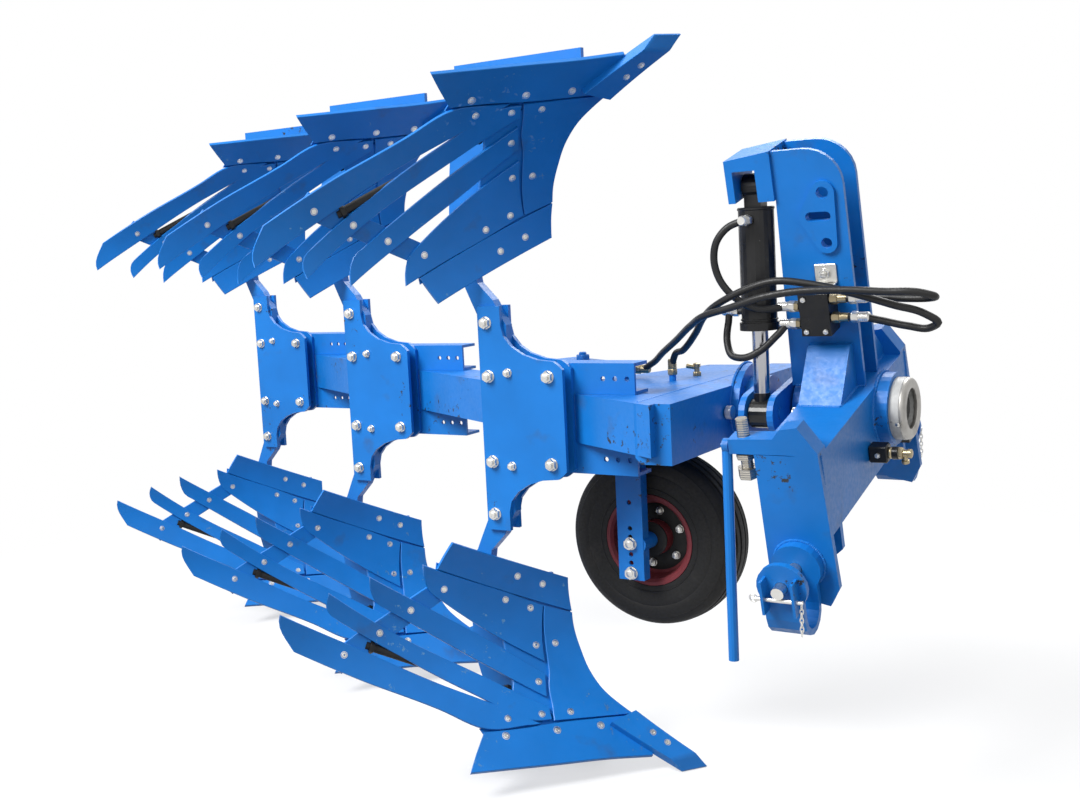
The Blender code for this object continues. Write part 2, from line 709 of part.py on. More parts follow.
def beam_outline():
    """The beam seen from above, with square ends."""
    lean = math.atan(BEAM_SLOPE)
    side = BEAM_SIDE / 2 / math.cos(lean)
    return (
        (BEAM_FRONT, beam_y(BEAM_FRONT) - side),
        (BEAM_FRONT, beam_y(BEAM_FRONT) + side),
        (BEAM_REAR, beam_y(BEAM_REAR) + side),
        (BEAM_REAR, beam_y(BEAM_REAR) - side),
    )


def gusset_face():
    """Height of the outer faces of the frame's top and bottom plates, just inside the beam's own."""
    return BEAM_SIDE / 2 - SINK / 2


def frame_mesh():
    """Beam, cross block, top and bottom plates between them, and the hose fittings."""
    half = BEAM_SIDE / 2
    beam = prism(beam_outline(), "Z", -half, half)
    inset = gusset_face()
    end = (
        (BLOCK_FRONT, half),
        (BLOCK_REAR, half),
        (BLOCK_REAR, BLOCK_CHAMFER - BLOCK_DROP),
        (BLOCK_REAR + BLOCK_CHAMFER, -BLOCK_DROP),
        (BLOCK_FRONT, -BLOCK_DROP),
    )
    block = prism(end, "Y", BLOCK_NEAR, BLOCK_FAR)
    gussets = []
    for low, high in ((inset - GUSSET_THICK, inset), (-inset, GUSSET_THICK - inset)):
        corners = [(BLOCK_FRONT - SINK + x, y) for x, y in GUSSET_SHARES]
        gussets.append(prism(corners, "Z", low, high))
    x, y, z = FRAME_PORT_FLAT
    length = (x - PORT_TALL - 2 * PORT_RADIUS, x - PORT_TALL)
    elbow = box(length, (y - PORT_RADIUS, y + PORT_RADIUS), (inset - SINK, z + PORT_RADIUS))
    nose = rod("X", (y, z), FITTING_RADIUS, x - PORT_TALL - SINK, x, SIDES_SMALL)
    x, y, z = FRAME_PORT_TALL
    ports = [elbow, nose, rod("Z", (x, y), FITTING_RADIUS, inset - SINK, z, SIDES_SMALL)]
    return combine(beam, (block, *gussets, *ports))


def yoke_mesh():
    """Spindle, two crank cheeks joined on the side away from the crank, and the flange on the block."""
    slot = EYE_WIDE / 2 + EYE_SIDE
    front = (CYLINDER_X + slot, CYLINDER_X + slot + CHEEK_THICK)
    rear = (CYLINDER_X - slot - CHEEK_THICK, CYLINDER_X - slot)
    outline = hull((((0.0, 0.0), CHEEK_HUB), ((-CRANK_RADIUS, 0.0), CHEEK_NOSE)))
    cheeks = [prism(outline, "X", *front), prism(outline, "X", *rear)]
    shaft = rod("X", (0.0, 0.0), SHAFT_RADIUS, front[1] - SINK, HOUSING_FRONT - 2 * SINK, SIDES_FINE)
    web = box((rear[1] - SINK, front[0] + SINK), (WEB_NEAR, WEB_NEAR + WEB_THICK), (-WEB_HALF / 2, WEB_HALF / 2))
    hub = rod("X", (0.0, 0.0), CHEEK_HUB, BLOCK_FRONT + SEAT, rear[0] + SINK)
    flange = rod("X", (0.0, 0.0), FLANGE_RADIUS, BLOCK_FRONT + SEAT, BLOCK_FRONT + SEAT + FLANGE_THICK)
    pin = (-CRANK_RADIUS, 0.0)
    stubs = [
        rod("X", pin, PIN_RADIUS, front[1] - SINK, front[1] + PIN_STUB, SIDES_SMALL),
        rod("X", pin, PIN_RADIUS, rear[0] - PIN_STUB, rear[0] + SINK, SIDES_SMALL),
    ]
    return combine(shaft, (cheeks[0], web, cheeks[1], hub, flange, *stubs))


# Headstock


def arm_mesh():
    """Crossarm with spindle housing, end plates, inner lugs, stop arms and braces, bored for the spindle."""
    ends = (END_THICK - SINK - ARM_NEAR, ARM_FAR - END_THICK + SINK)
    beam = box((ARM_REAR, ARM_FRONT), ends, (ARM_LOW, ARM_TOP))
    front = rod("X", (0.0, 0.0), HOUSING_RADIUS, ARM_FRONT - SINK, HOUSING_FRONT, SIDES_FINE)
    rear = rod("X", (0.0, 0.0), HOUSING_REAR_RADIUS, HOUSING_REAR, ARM_REAR + SINK, SIDES_FINE)
    joined = [front, rear]
    cut = [rod("X", (0.0, 0.0), SHAFT_RADIUS + RUNNING, HOUSING_REAR - OVERRUN, OVERRUN, SIDES_FINE)]
    for side in (-1, 1):
        joined += [end_plate(side), inner_lug(side), stop_arm(side), brace(side), stand_stub(side)]
        bolt = (STOP_BOLT_X, side * (arm_half(side) - STOP_THICK / 2))
        reach = (ARM_TOP - OVERRUN, STOP_BOLT_TOP + OVERRUN)
        cut.append(rod("Z", bolt, STOP_BOLT_RADIUS + RUNNING, *reach, SIDES_SMALL))
        cut.append(across(side, lug_inner(side) - OVERRUN, arm_half(side) + OVERRUN, HITCH_PIN + RUNNING))
    return combine(beam, [piece for piece in joined if piece], cut)


def arm_half(side):
    """Distance from the spindle axis to the outer face of one end plate."""
    return ARM_NEAR if side < 0 else ARM_FAR


def lug_inner(side):
    return arm_half(side) - LUG_INSET - LUG_THICK


def across(side, low, high, radius, sides=SIDES_SMALL):
    """A round bar through the lower-link pin's place, on one side of the headstock."""
    ends = sorted((side * low, side * high))
    return rod("Y", (HITCH_X, HITCH_Z), radius, *ends, sides)


def end_plate(side):
    outline = (
        (ARM_REAR, ARM_TOP),
        (ARM_FRONT, ARM_TOP),
        (ARM_FRONT + END_FORWARD, HITCH_Z - HITCH_DISC),
        (ARM_FRONT - END_FORWARD, END_NOSE),
        (HITCH_X, END_NOSE + END_FORWARD),
        (ARM_REAR, END_HEEL),
    )
    ends = sorted((side * (arm_half(side) - END_THICK), side * arm_half(side)))
    return prism(outline, "Y", *ends)


def inner_lug(side):
    half = HITCH_DISC + LUG_RIM
    outline = (
        (HITCH_X - half, ARM_LOW + SINK),
        (ARM_FRONT, ARM_LOW + SINK),
        (ARM_FRONT, HITCH_Z),
        (HITCH_X + half / 2, ARM_LOW - LUG_DROP),
        (HITCH_X - half / 2, ARM_LOW - LUG_DROP),
        (HITCH_X - half, HITCH_Z),
    )
    ends = sorted((side * lug_inner(side), side * (lug_inner(side) + LUG_THICK)))
    return prism(outline, "Y", *ends)


def stop_arm(side):
    """The arm welded on the crossarm's end, reaching back over the frame to its stop bolt."""
    middle = (ARM_REAR + ARM_FRONT) / 2
    half = ARM_REAR - middle
    outline = []
    for along, up in STOP_SHARES:
        x = middle - along * half if along > -1.0 else ARM_REAR - STOP_REACH
        outline.append((x, ARM_TOP - SINK + up))
    ends = sorted((side * (arm_half(side) - STOP_THICK), side * arm_half(side)))
    return prism(outline, "Y", *ends)


def brace(side):
    """The sloping box between the mast and the arm."""
    foot = MAST_Y + MAST_THICK / 2 + SEAT
    outline = [
        (side * foot, ARM_TOP - SINK),
        (side * BRACE_FOOT, ARM_TOP - SINK),
        (side * (foot + BRACE_CROWN), BRACE_TOP),
        (side * foot, BRACE_TOP),
    ]
    return prism(outline, "X", ARM_REAR + BRACE_INSET, MAST_FRONT - BRACE_CROWN)


def stand_stub(side):
    """The stub on the near stop arm from which the stand rod hangs."""
    if side > 0:
        return None
    rear = ARM_REAR - STOP_REACH
    return rod("X", stand_place(), STAND_STUB, rear - STAND_STUB_LONG, rear + SINK, SIDES_SMALL)


def stand_place():
    return (STOP_THICK / 2 - ARM_NEAR, STAND_Z)


def mast_outline():
    """A mast plate: upright, with a round front shoulder."""
    foot = ARM_TOP + SEAT
    radius = MAST_CROWN
    crown = circle((MAST_FRONT - radius, MAST_TOP - radius), radius, PLATE_ARC + 3, 0.0, math.pi / 2)
    return [(MAST_FRONT, foot), *crown, (MAST_HEAD_REAR, MAST_TOP), (MAST_HEAD_REAR, HEAD_LOW), (MAST_FOOT_REAR, foot)]


def mast_mesh(side):
    """One mast plate with the pad round its top-link holes."""
    outer = side * (MAST_Y + MAST_THICK / 2)
    inner = side * (MAST_Y - MAST_THICK / 2)
    plate = prism(mast_outline(), "Y", *sorted((inner, outer)))
    circles = [((x, z), pad) for x, z, _, pad in LINK_HOLES] + [((SLOT_X - SLOT_HALF, SLOT_Z), SLOT_PAD)]
    pad = prism(hull(circles, SIDES), "Y", *sorted((outer - side * SINK, outer + side * PAD_THICK)))
    reach = (-side * OVERRUN + inner, outer + side * OVERRUN)
    cutters = [rod("Y", (x, z), hole, *sorted(reach), SIDES_SMALL) for x, z, hole, _ in LINK_HOLES]
    slot = hull([((x, SLOT_Z), SLOT_RADIUS) for x in (SLOT_X - SLOT_HALF, SLOT_X + SLOT_HALF)], SIDES_SMALL)
    cutters.append(prism(slot, "Y", *sorted(reach)))
    return combine(plate, (pad,), cutters)


def head_mesh():
    """The box behind the mast that holds the cylinder's top pin in its slot."""
    front = MAST_HEAD_REAR - SEAT
    outline = ((front, HEAD_LOW), (front, HEAD_TOP_FRONT), (HEAD_REAR, HEAD_TOP_REAR), (HEAD_REAR, HEAD_LOW))
    block = prism(outline, "Y", -HEAD_HALF, HEAD_HALF)
    half = EYE_WIDE / 2 + EYE_SIDE
    across_head = (-HEAD_HALF - OVERRUN, HEAD_HALF + OVERRUN)
    slot = box((CYLINDER_X - half, CYLINDER_X + half), across_head, (HEAD_LOW - OVERRUN, HEAD_SLOT_TOP))
    body = combine(block, cut=(slot,))
    pin = rod("X", (0.0, PIVOT_Z), PIN_RADIUS, CYLINDER_X - half - SINK, CYLINDER_X + half + SINK)
    return combine(body, (pin,))


def cap_mesh():
    """The dished spindle cap, whose middle carries the origin."""
    disc = rod("X", (0.0, 0.0), CAP_RADIUS, HOUSING_FRONT + SEAT, 0.0, SIDES_FINE)
    groove = ((CAP_BOSS, -CAP_DISH), (CAP_RING, -CAP_DISH), (CAP_RING, OVERRUN), (CAP_BOSS, OVERRUN))
    return combine(disc, cut=(revolve(groove, "X", (0.0, 0.0), SIDES),))


def stop_bolt_mesh(side):
    """The stop bolt: domed top, plain shank, a lock nut and the head below."""
    centre = (STOP_BOLT_X, side * (arm_half(side) - STOP_THICK / 2))
    shank = rod("Z", centre, STOP_BOLT_RADIUS, STOP_BOLT_LOW, STOP_BOLT_TOP, SIDES_SMALL)
    head = prism(circle(centre, NUT_RADIUS, 6), "Z", STOP_BOLT_LOW, STOP_BOLT_LOW + NUT_TALL)
    top = ARM_TOP - SINK - SEAT
    nut = prism(circle(centre, NUT_RADIUS, 6), "Z", top - NUT_TALL / 2, top)
    return combine(shank, (head, nut))


def strap_outline(side):
    """The U of a lower-link strap seen from the front, open at the top."""
    inner = arm_half(side) + SEAT + HITCH_STACK
    outer = inner + 2 * STRAP_THICK + STRAP_GAP
    middle = (inner + outer) / 2
    radius = (outer - inner) / 2
    centre_z = STRAP_LOW + radius
    outside = circle((middle, centre_z), radius, STRAP_ARC, 0.0, -math.pi)
    inside = circle((middle, centre_z), radius - STRAP_THICK, STRAP_ARC, -math.pi, math.pi)
    outline = [(outer, HITCH_Z), *outside, (inner, HITCH_Z)]
    outline += [(inner + STRAP_THICK, HITCH_Z), *inside, (outer - STRAP_THICK, HITCH_Z)]
    return [(side * y, z) for y, z in outline], inner, outer


def hitch_mesh(side):
    """A lower-link strap with round eyes, its spacer against the end plate and the pin's lock box."""
    outline, inner, outer = strap_outline(side)
    strap = prism(outline, "X", HITCH_X - STRAP_WIDE / 2, HITCH_X + STRAP_WIDE / 2)
    eyes = [
        across(side, arm_half(side) + SEAT, inner + STRAP_THICK, HITCH_DISC, SIDES),
        across(side, outer - STRAP_THICK, outer, HITCH_DISC, SIDES),
    ]
    locks = []
    for x in (HITCH_X - LOCK_HALF, HITCH_X + LOCK_HALF):
        ends = sorted((side * (outer - SINK), side * (outer + LOCK_DEEP)))
        locks.append(box((x - LOCK_THICK / 2, x + LOCK_THICK / 2), ends, (HITCH_Z - LOCK_TALL, HITCH_Z + LOCK_TALL / 2)))
    hole = across(side, arm_half(side) - OVERRUN, outer + OVERRUN, HITCH_PIN + RUNNING)
    return combine(strap, (*eyes, *locks), (hole,))


def link_pin_mesh(side):
    outer = arm_half(side) + SEAT + HITCH_STACK + 2 * STRAP_THICK + STRAP_GAP
    return across(side, lug_inner(side) - SINK, outer + PIN_TAIL, HITCH_PIN)


def valve_mesh():
    """The control block on the near mast plate, with its four unions."""
    face = -(MAST_Y + MAST_THICK / 2 + SEAT)
    body = box(VALVE_X, (face - VALVE_DEEP, face), VALVE_Z)
    rear = (VALVE_X[0] - FITTING_REAR, VALVE_X[0] + SINK)
    front = (VALVE_X[1] - SINK, VALVE_X[1] + FITTING_FRONT)
    unions = [rod("X", (FITTING_Y, z), FITTING_RADIUS, *rear, SIDES_SMALL) for z in VALVE_REAR_PORTS]
    unions += [rod("X", (FITTING_Y, z), FITTING_RADIUS, *front, SIDES_SMALL) for z in VALVE_FRONT_PORTS]
    return combine(body, unions)


def coupler_mesh():
    """The coupler block on the arm's front face, under the spindle."""
    depth, width, height = COUPLER_SIZE
    start = ARM_FRONT + SEAT
    sides = (COUPLER_Y - width / 2, COUPLER_Y + width / 2)
    body = box((start, start + depth), sides, (COUPLER_Z - height / 2, COUPLER_Z + height / 2))
    nose = rod("Y", (start + depth / 2, COUPLER_Z), FITTING_RADIUS, COUPLER_Y - width, COUPLER_Y, SIDES_SMALL)
    return combine(body, (nose,))


def barrel_mesh():
    """The turnover cylinder's barrel along -Z from its top pivot, bored for the rod."""
    eye = rod("X", (0.0, 0.0), FORK_RADIUS, -EYE_WIDE / 2, EYE_WIDE / 2)
    neck_half = EYE_WIDE / 2 - SINK / 2
    neck = box((-neck_half, neck_half), (-neck_half, neck_half), (-BARREL_TOP - SINK, -FORK_RADIUS / 2))
    barrel = rod("Z", (0.0, 0.0), BARREL_RADIUS, -BARREL_END, -BARREL_TOP)
    gland = rod("Z", (0.0, 0.0), GLAND_RADIUS, -BARREL_END, -BARREL_END + GLAND_TALL)
    reach = (-BARREL_RADIUS - PORT_REACH, SINK - BARREL_RADIUS)
    ports = [
        rod("Y", (0.0, -BARREL_PORT_TOP), PORT_PIPE, *reach, SIDES_SMALL),
        rod("X", (0.0, -BARREL_PORT_LOW), PORT_PIPE, *reach, SIDES_SMALL),
    ]
    bore = rod("Z", (0.0, 0.0), ROD_RADIUS + RUNNING, -BARREL_END - OVERRUN, -BORE_TOP)
    hole = rod("X", (0.0, 0.0), PIN_RADIUS + RUNNING, -EYE_WIDE, EYE_WIDE)
    return combine(eye, (neck, barrel, gland, *ports), (bore, hole))


def piston_rod_mesh(length):
    """The chromed rod with its eye, along -Z from the top pivot."""
    bar = rod("Z", (0.0, 0.0), ROD_RADIUS, -length, -ROD_START)
    eye = rod("X", (0.0, -length), EYE_RADIUS, -EYE_WIDE / 2, EYE_WIDE / 2)
    hole = rod("X", (0.0, -length), PIN_RADIUS + RUNNING, -EYE_WIDE, EYE_WIDE, SIDES_SMALL)
    return combine(bar, (eye,), (hole,))


def stand_mesh():
    """The stand rod, hanging down from its eye at the origin."""
    eye = rod("X", (0.0, 0.0), STAND_EYE, -STAND_EYE_THICK / 2, STAND_EYE_THICK / 2)
    bar = rod("Z", (0.0, 0.0), STAND_RADIUS, -STAND_LENGTH, -STAND_EYE / 2, SIDES_SMALL)
    hole = rod("X", (0.0, 0.0), STAND_STUB + RUNNING, -STAND_EYE_THICK, STAND_EYE_THICK, SIDES_SMALL)
    return combine(eye, (bar,), (hole,))


# Depth wheel


def leg_mesh():
    """The perforated channel leg, its flange under the frame's bottom plate and the axle stub."""
    x = (LEG_X - LEG_WIDE / 2, LEG_X + LEG_WIDE / 2)
    rear = LEG_Y + LEG_DEEP
    section = (
        (x[0], LEG_Y),
        (x[1], LEG_Y),
        (x[1], rear),
        (x[1] - LEG_WALL, rear),
        (x[1] - LEG_WALL, LEG_Y + LEG_WALL),
        (x[0] + LEG_WALL, LEG_Y + LEG_WALL),
        (x[0] + LEG_WALL, rear),
        (x[0], rear),
    )
    top = -gusset_face() - SEAT
    leg = prism(section, "Z", LEG_LOW, top - LEG_FLANGE_THICK + SINK)
    flange = box(*LEG_FLANGE, (top - LEG_FLANGE_THICK, top))
    axle = rod("Y", (WHEEL_X, WHEEL_Z), AXLE_RADIUS, LEG_Y + SINK / 2, WHEEL_Y + HUB_HALF + SINK, SIDES_FINE)
    wall = (LEG_Y - OVERRUN, LEG_Y + LEG_WALL + OVERRUN / 2)
    holes = [rod("Y", (LEG_X, z), LEG_HOLE, *wall, SIDES_HOLE) for z in LEG_HOLES]
    return combine(leg, (flange, axle), holes)


def rim_mesh():
    """Rim, disc and hub in one turned profile, as (radius, distance from the middle plane)."""
    bore = AXLE_RADIUS + RUNNING
    lip = RIM_HALF - RIM_WALL
    inside = RIM_SEAT - RIM_WALL
    profile = (
        (bore, -HUB_HALF), (HUB_RADIUS, -HUB_HALF), (HUB_RADIUS, -DISC_NEAR), (inside - RIM_WALL, -DISC_NEAR),
        (inside, -lip), (RIM_SEAT, -RIM_HALF), (RIM_LIP, -RIM_HALF), (RIM_LIP, -lip), (RIM_SEAT, -lip + RIM_WALL),
        (RIM_SEAT, lip - RIM_WALL), (RIM_LIP, lip), (RIM_LIP, RIM_HALF), (RIM_SEAT, RIM_HALF), (inside, lip),
        (inside - RIM_WALL, DISC_THICK - DISC_NEAR), (HUB_RADIUS, DISC_THICK - DISC_NEAR), (HUB_RADIUS, HUB_HALF), (bore, HUB_HALF),
    )
    return revolve(profile, "Y", (0.0, 0.0), SIDES_FINE)


def tyre_mesh():
    """The tyre's closed section, turned about the axle."""
    bead = RIM_SEAT + TILE
    lip = RIM_HALF - RIM_WALL
    half = (
        (bead, lip - RIM_WALL - TILE), (RIM_LIP + TILE, lip - TILE), (RIM_LIP + 2 * TILE, RIM_HALF - TILE),
        *((radius * TYRE_RADIUS, level * TYRE_HALF) for radius, level in TYRE_SHARES),
    )
    profile = [*half, *((radius, -level) for radius, level in reversed(half[:-1]))]
    return revolve(profile, "Y", (0.0, 0.0), SIDES_FINE)


# Hoses


def lean(point):
    """A point of the leaning headstock, in the level frame."""
    return Matrix.Rotation(HEAD_LEAN, 4, "X") @ Vector(point)


def smooth_route(points):
    """Points along a smooth curve through the route; its first and last stretch stay straight."""
    out = [points[0]]
    for a, b, c, d in zip(points, points[1:], points[2:], points[3:]):
        for i in range(HOSE_POINTS):
            t = i / HOSE_POINTS
            out.append((2 * b + (c - a) * t + (2 * a - 5 * b + 4 * c - d) * t**2 + (3 * b - a - 3 * c + d) * t**3) / 2)
    return [*out, points[-2], points[-1]]


def hose(name, points):
    curve = bpy.data.curves.new(name, "CURVE")
    curve.dimensions = "3D"
    curve.bevel_depth = HOSE_RADIUS
    curve.bevel_resolution = 2
    curve.use_fill_caps = True
    spline = curve.splines.new("POLY")
    route = smooth_route([Vector(p) for p in points])
    spline.points.add(len(route) - 1)
    for target, point in zip(spline.points, route):
        target.co = (*point, 1.0)
    obj = bpy.data.objects.new(name, curve)
    curve.materials.append(material(name, RUBBER))
    bpy.context.scene.collection.objects.link(obj)
    return obj


# Assembly


def empty(name, at=(0, 0, 0), parent=None):
    obj = bpy.data.objects.new(name, None)
    bpy.context.scene.collection.objects.link(obj)
    obj.location = at
    obj.parent = parent
    return obj


def build_stations():
    """The bodies, shanks, clamp plates and channels of each station, lower ones and their mirror images."""
    pieces = (
        ("mouldboard", board_mesh(), BLUE),
        ("share", share_mesh(), BLUE),
        ("shank", shank_mesh(), BLUE),
        ("channel", mirrored(channel_mesh(), "Z"), BLUE),
    )
    plates = (
        ("clamp_near", prism(clamp_outline(), "Y", NEAR_FACE - SEAT - PLATE_THICK, NEAR_FACE - SEAT), BLUE),
        ("clamp_far", prism(clamp_outline(), "Y", FAR_FACE + SEAT, FAR_FACE + SEAT + PLATE_THICK), BLUE),
    )
    for i in range(STATIONS):
        at = (-BODY_PITCH * i, FURROW * i, 0.0)
        for name, mesh, look in pieces:
            place(f"{name}_lower_{i + 1}", mesh.copy(), look, at)
            place(f"{name}_upper_{i + 1}", mirrored(mesh, "Z"), look, at)
        for name, mesh, look in plates:
            place(f"{name}_{i + 1}", mesh.copy(), look, at)


def build_frame():
    place("main_frame", frame_mesh(), BLUE)
    place("yoke", smooth(yoke_mesh()), BLUE)
    place("wheel_leg", leg_mesh(), BLUE)
    axle = empty("wheel_axle", (WHEEL_X, WHEEL_Y, WHEEL_Z))
    place("wheel_rim", smooth(rim_mesh()), RED, parent=axle)
    place("wheel_tyre", smooth(tyre_mesh()), RUBBER, parent=axle)


def build_headstock(head):
    place("crossarm", arm_mesh(), BLUE, parent=head)
    place("spindle_cap", smooth(cap_mesh()), WORN, parent=head)
    place("mast_head", head_mesh(), BLUE, parent=head)
    place("valve_block", valve_mesh(), BLACK, parent=head)
    place("coupler", coupler_mesh(), BLACK, parent=head)
    for name, side in (("near", -1), ("far", 1)):
        place(f"mast_{name}", mast_mesh(side), BLUE, parent=head)
        place(f"hitch_{name}", hitch_mesh(side), BLUE, parent=head)
        place(f"link_pin_{name}", smooth(link_pin_mesh(side)), ZINC, parent=head)
        place(f"stop_bolt_{name}", stop_bolt_mesh(side), ZINC, parent=head)


def cylinder_pose():
    """Distance from the top pivot to the crank pin that the level frame carries, and the cylinder's swing."""
    crank = Matrix.Rotation(-HEAD_LEAN, 4, "X") @ Vector((0.0, -CRANK_RADIUS, 0.0))
    reach = Vector((crank.y, crank.z - PIVOT_Z))
    return reach.length, math.atan2(reach.x, -reach.y)


def build_cylinder(head):
    reach, swing = cylinder_pose()
    pivot = empty("cylinder_pivot", (CYLINDER_X, 0.0, PIVOT_Z), head)
    pivot.rotation_euler.x = swing
    place("cylinder_barrel", smooth(barrel_mesh()), BLACK, parent=pivot)
    place("cylinder_rod", smooth(piston_rod_mesh(reach)), CHROME, parent=pivot)


def build_stand(head):
    """The rod hangs straight down from the leaning headstock."""
    y, z = stand_place()
    x = ARM_REAR - STOP_REACH - STAND_GAP - STAND_EYE_THICK / 2
    hinge = empty("stand_hinge", (x, y, z), head)
    hinge.rotation_euler.x = -HEAD_LEAN
    place("stand_rod", smooth(stand_mesh()), BLUE, parent=hinge)


def leaving(port, way, turn):
    """A hose's first two points, straight out of a port: the port's mouth and direction, both turned into place."""
    mouth, along = Vector(port), Vector(way)
    return [turn @ (mouth + SEAT * along), turn @ (mouth + HOSE_LEAD * along)]


def build_hoses():
    head = Matrix.Rotation(HEAD_LEAN, 4, "X")
    _, swing = cylinder_pose()
    barrel = head @ Matrix.Translation((CYLINDER_X, 0.0, PIVOT_Z)) @ Matrix.Rotation(swing, 4, "X")
    mouth = -BARREL_RADIUS - PORT_REACH
    barrel_top = leaving((0.0, mouth, -BARREL_PORT_TOP), (0, -1, 0), barrel)
    barrel_low = leaving((mouth, 0.0, -BARREL_PORT_LOW), (-1, 0, 0), barrel)
    rear = [leaving((VALVE_X[0] - FITTING_REAR, FITTING_Y, z), (-1, 0, 0), head) for z in VALVE_REAR_PORTS]
    front = [leaving((VALVE_X[1] + FITTING_FRONT, FITTING_Y, z), (1, 0, 0), head) for z in VALVE_FRONT_PORTS]
    level = Matrix.Identity(4)
    flat = leaving(FRAME_PORT_FLAT, (1, 0, 0), level)
    tall = leaving(FRAME_PORT_TALL, (0, 0, 1), level)
    top_route = [lean(p) for p in HOSE_TOP_ROUTE]
    low_route = [lean(p) for p in HOSE_LOW_ROUTE]
    out_route = [*(lean(p) for p in HOSE_OUT_ROUTE), *HOSE_OUT_END]
    back_route = [*(lean(p) for p in HOSE_BACK_ROUTE), *HOSE_BACK_END]
    hose("hose_barrel_top", [*barrel_top, *top_route, *reversed(rear[0])])
    hose("hose_barrel_low", [*rear[1], *low_route, *reversed(barrel_low)])
    hose("hose_frame_out", [*front[0], *out_route, *reversed(flat)])
    hose("hose_frame_back", [*front[1], *back_route, *reversed(tall)])


def main():
    clear_scene()
    head = empty("headstock_frame")
    head.rotation_euler.x = HEAD_LEAN
    build_stations()
    build_frame()
    build_headstock(head)
    build_cylinder(head)
    build_stand(head)
    build_hoses()


main()
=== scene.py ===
"""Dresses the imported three-furrow reversible plough: camera, stage, materials and fine pieces.

Metres, in the frame of the CAD: +X forward, +Z up, the origin on the turnover axis.
"""

import math

import bpy
import numpy as np
from bpy.props import FloatProperty, FloatVectorProperty, PointerProperty
from mathutils import Matrix


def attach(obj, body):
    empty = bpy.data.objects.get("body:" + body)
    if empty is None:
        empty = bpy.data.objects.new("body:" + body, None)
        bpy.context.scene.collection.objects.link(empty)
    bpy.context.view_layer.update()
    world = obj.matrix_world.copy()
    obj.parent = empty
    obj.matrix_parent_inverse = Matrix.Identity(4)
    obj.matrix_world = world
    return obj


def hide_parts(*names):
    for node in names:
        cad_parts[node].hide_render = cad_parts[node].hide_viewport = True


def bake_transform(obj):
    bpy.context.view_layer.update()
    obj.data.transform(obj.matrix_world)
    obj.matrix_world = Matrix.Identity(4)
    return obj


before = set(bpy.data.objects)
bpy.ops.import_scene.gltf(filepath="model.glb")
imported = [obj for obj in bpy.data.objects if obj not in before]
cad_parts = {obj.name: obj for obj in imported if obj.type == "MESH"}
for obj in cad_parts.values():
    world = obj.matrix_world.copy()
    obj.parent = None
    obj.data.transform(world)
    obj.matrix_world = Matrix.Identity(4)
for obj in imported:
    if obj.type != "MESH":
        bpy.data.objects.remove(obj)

bl_info = {
    "name": "Reversible plough dressing",
    "version": (1, 0, 0),
    "blender": (4, 5, 0),
    "location": "3D View > Sidebar > Plough",
    "description": "Camera, stage, materials and fine pieces of a three-furrow reversible plough",
    "category": "Object",
}

# Camera, found from the photograph
EYE = (0.931, -3.251, 0.4625)
YAW, PITCH, ROLL = (math.radians(a) for a in (36.66, -6.94, -3.55))
PHOTO = (1080, 810)
FOCAL_PX = 1380.2
CENTRE_PX = (396.4, 407.3)
SENSOR = 36.0

# Main sizes, as in the CAD
STATIONS = 3
STEP = np.array([-0.80, 0.47, 0.0])  # from one station to the next
HEAD_LEAN = math.radians(15)
GROUND = 0.885
FLOOR = -0.9023
FACE_START, SWEEP, RAKE, CURL, TWIST = -0.500, 0.69, 1.35, 0.704, 6.67
LANDSIDE_Y = -0.150
BOARD = np.array([0.70, 0.60])  # width and height that the shares below refer to
SLAT, SHARE, BACKING, SINK = 0.008, 0.012, 0.012, 0.004
EDGE = 0.0012  # rounding of plate edges
RIPPLE = 0.004  # length of one ripple of a weld

STRIP_TOP = ((0.036, 0.740), (0.171, 0.817), (0.449, 0.975))
STRIP_LOW = ((0.049, 0.597), (0.131, 0.646), (0.487, 0.868))
SHIN_EDGE = ((0.049, 0.591), (0.061, 0.530), (0.073, 0.442), (0.085, 0.352), (0.083, 0.273), (0.069, 0.223),
             (0.054, 0.182))
SHIN_SEAM = ((0.136, 0.638), (0.158, 0.557), (0.184, 0.464), (0.212, 0.383), (0.247, 0.318), (0.273, 0.258),
             (0.300, 0.208))
SLATS = (
    # top edge and low edge from root to tail, then the cut between the tails
    (((0.140, 0.640), (0.271, 0.731), (0.400, 0.810), (0.536, 0.895)),
     ((0.209, 0.420), (0.300, 0.520), (0.400, 0.640), (0.493, 0.753)), ((0.511, 0.780), (0.526, 0.830))),
    (((0.229, 0.375), (0.357, 0.543), (0.500, 0.690), (0.709, 0.880)),
     ((0.271, 0.292), (0.399, 0.450), (0.520, 0.590), (0.650, 0.728)), ((0.680, 0.758), (0.701, 0.817))),
    (((0.286, 0.257), (0.320, 0.293), (0.430, 0.415), (0.600, 0.585), (0.836, 0.838)),
     ((0.305, 0.213), (0.350, 0.218), (0.480, 0.350), (0.640, 0.530), (0.811, 0.720)),
     ((0.834, 0.750), (0.843, 0.800))),
    (((0.345, 0.206), (0.450, 0.310), (0.561, 0.405), (0.760, 0.590), (0.986, 0.780)),
     ((0.370, 0.207), (0.520, 0.228), (0.600, 0.312), (0.780, 0.465), (0.957, 0.622)), ((0.989, 0.755),)),
)
TAIL_BAR = ((0.405, 0.812), (0.520, 0.742), (0.640, 0.668), (0.760, 0.600), (0.850, 0.545))
TAIL_BAR_WIDE = 0.050
BACK_ROWS = (0.235, 0.300, 0.360, 0.420, 0.480, 0.540, 0.620, 0.700, 0.770)
BACK_LAND = (0.115, 0.120, 0.125, 0.125, 0.115, 0.105, 0.090, 0.085, 0.080)
BACK_TAIL = (0.480, 0.380, 0.340, 0.320, 0.310, 0.300, 0.300, 0.300, 0.300)
SEAT_ROWS = (0.130, 0.160, 0.210, 0.255, 0.300)
SEAT_LAND = (0.110, 0.110, 0.110, 0.110, 0.115)
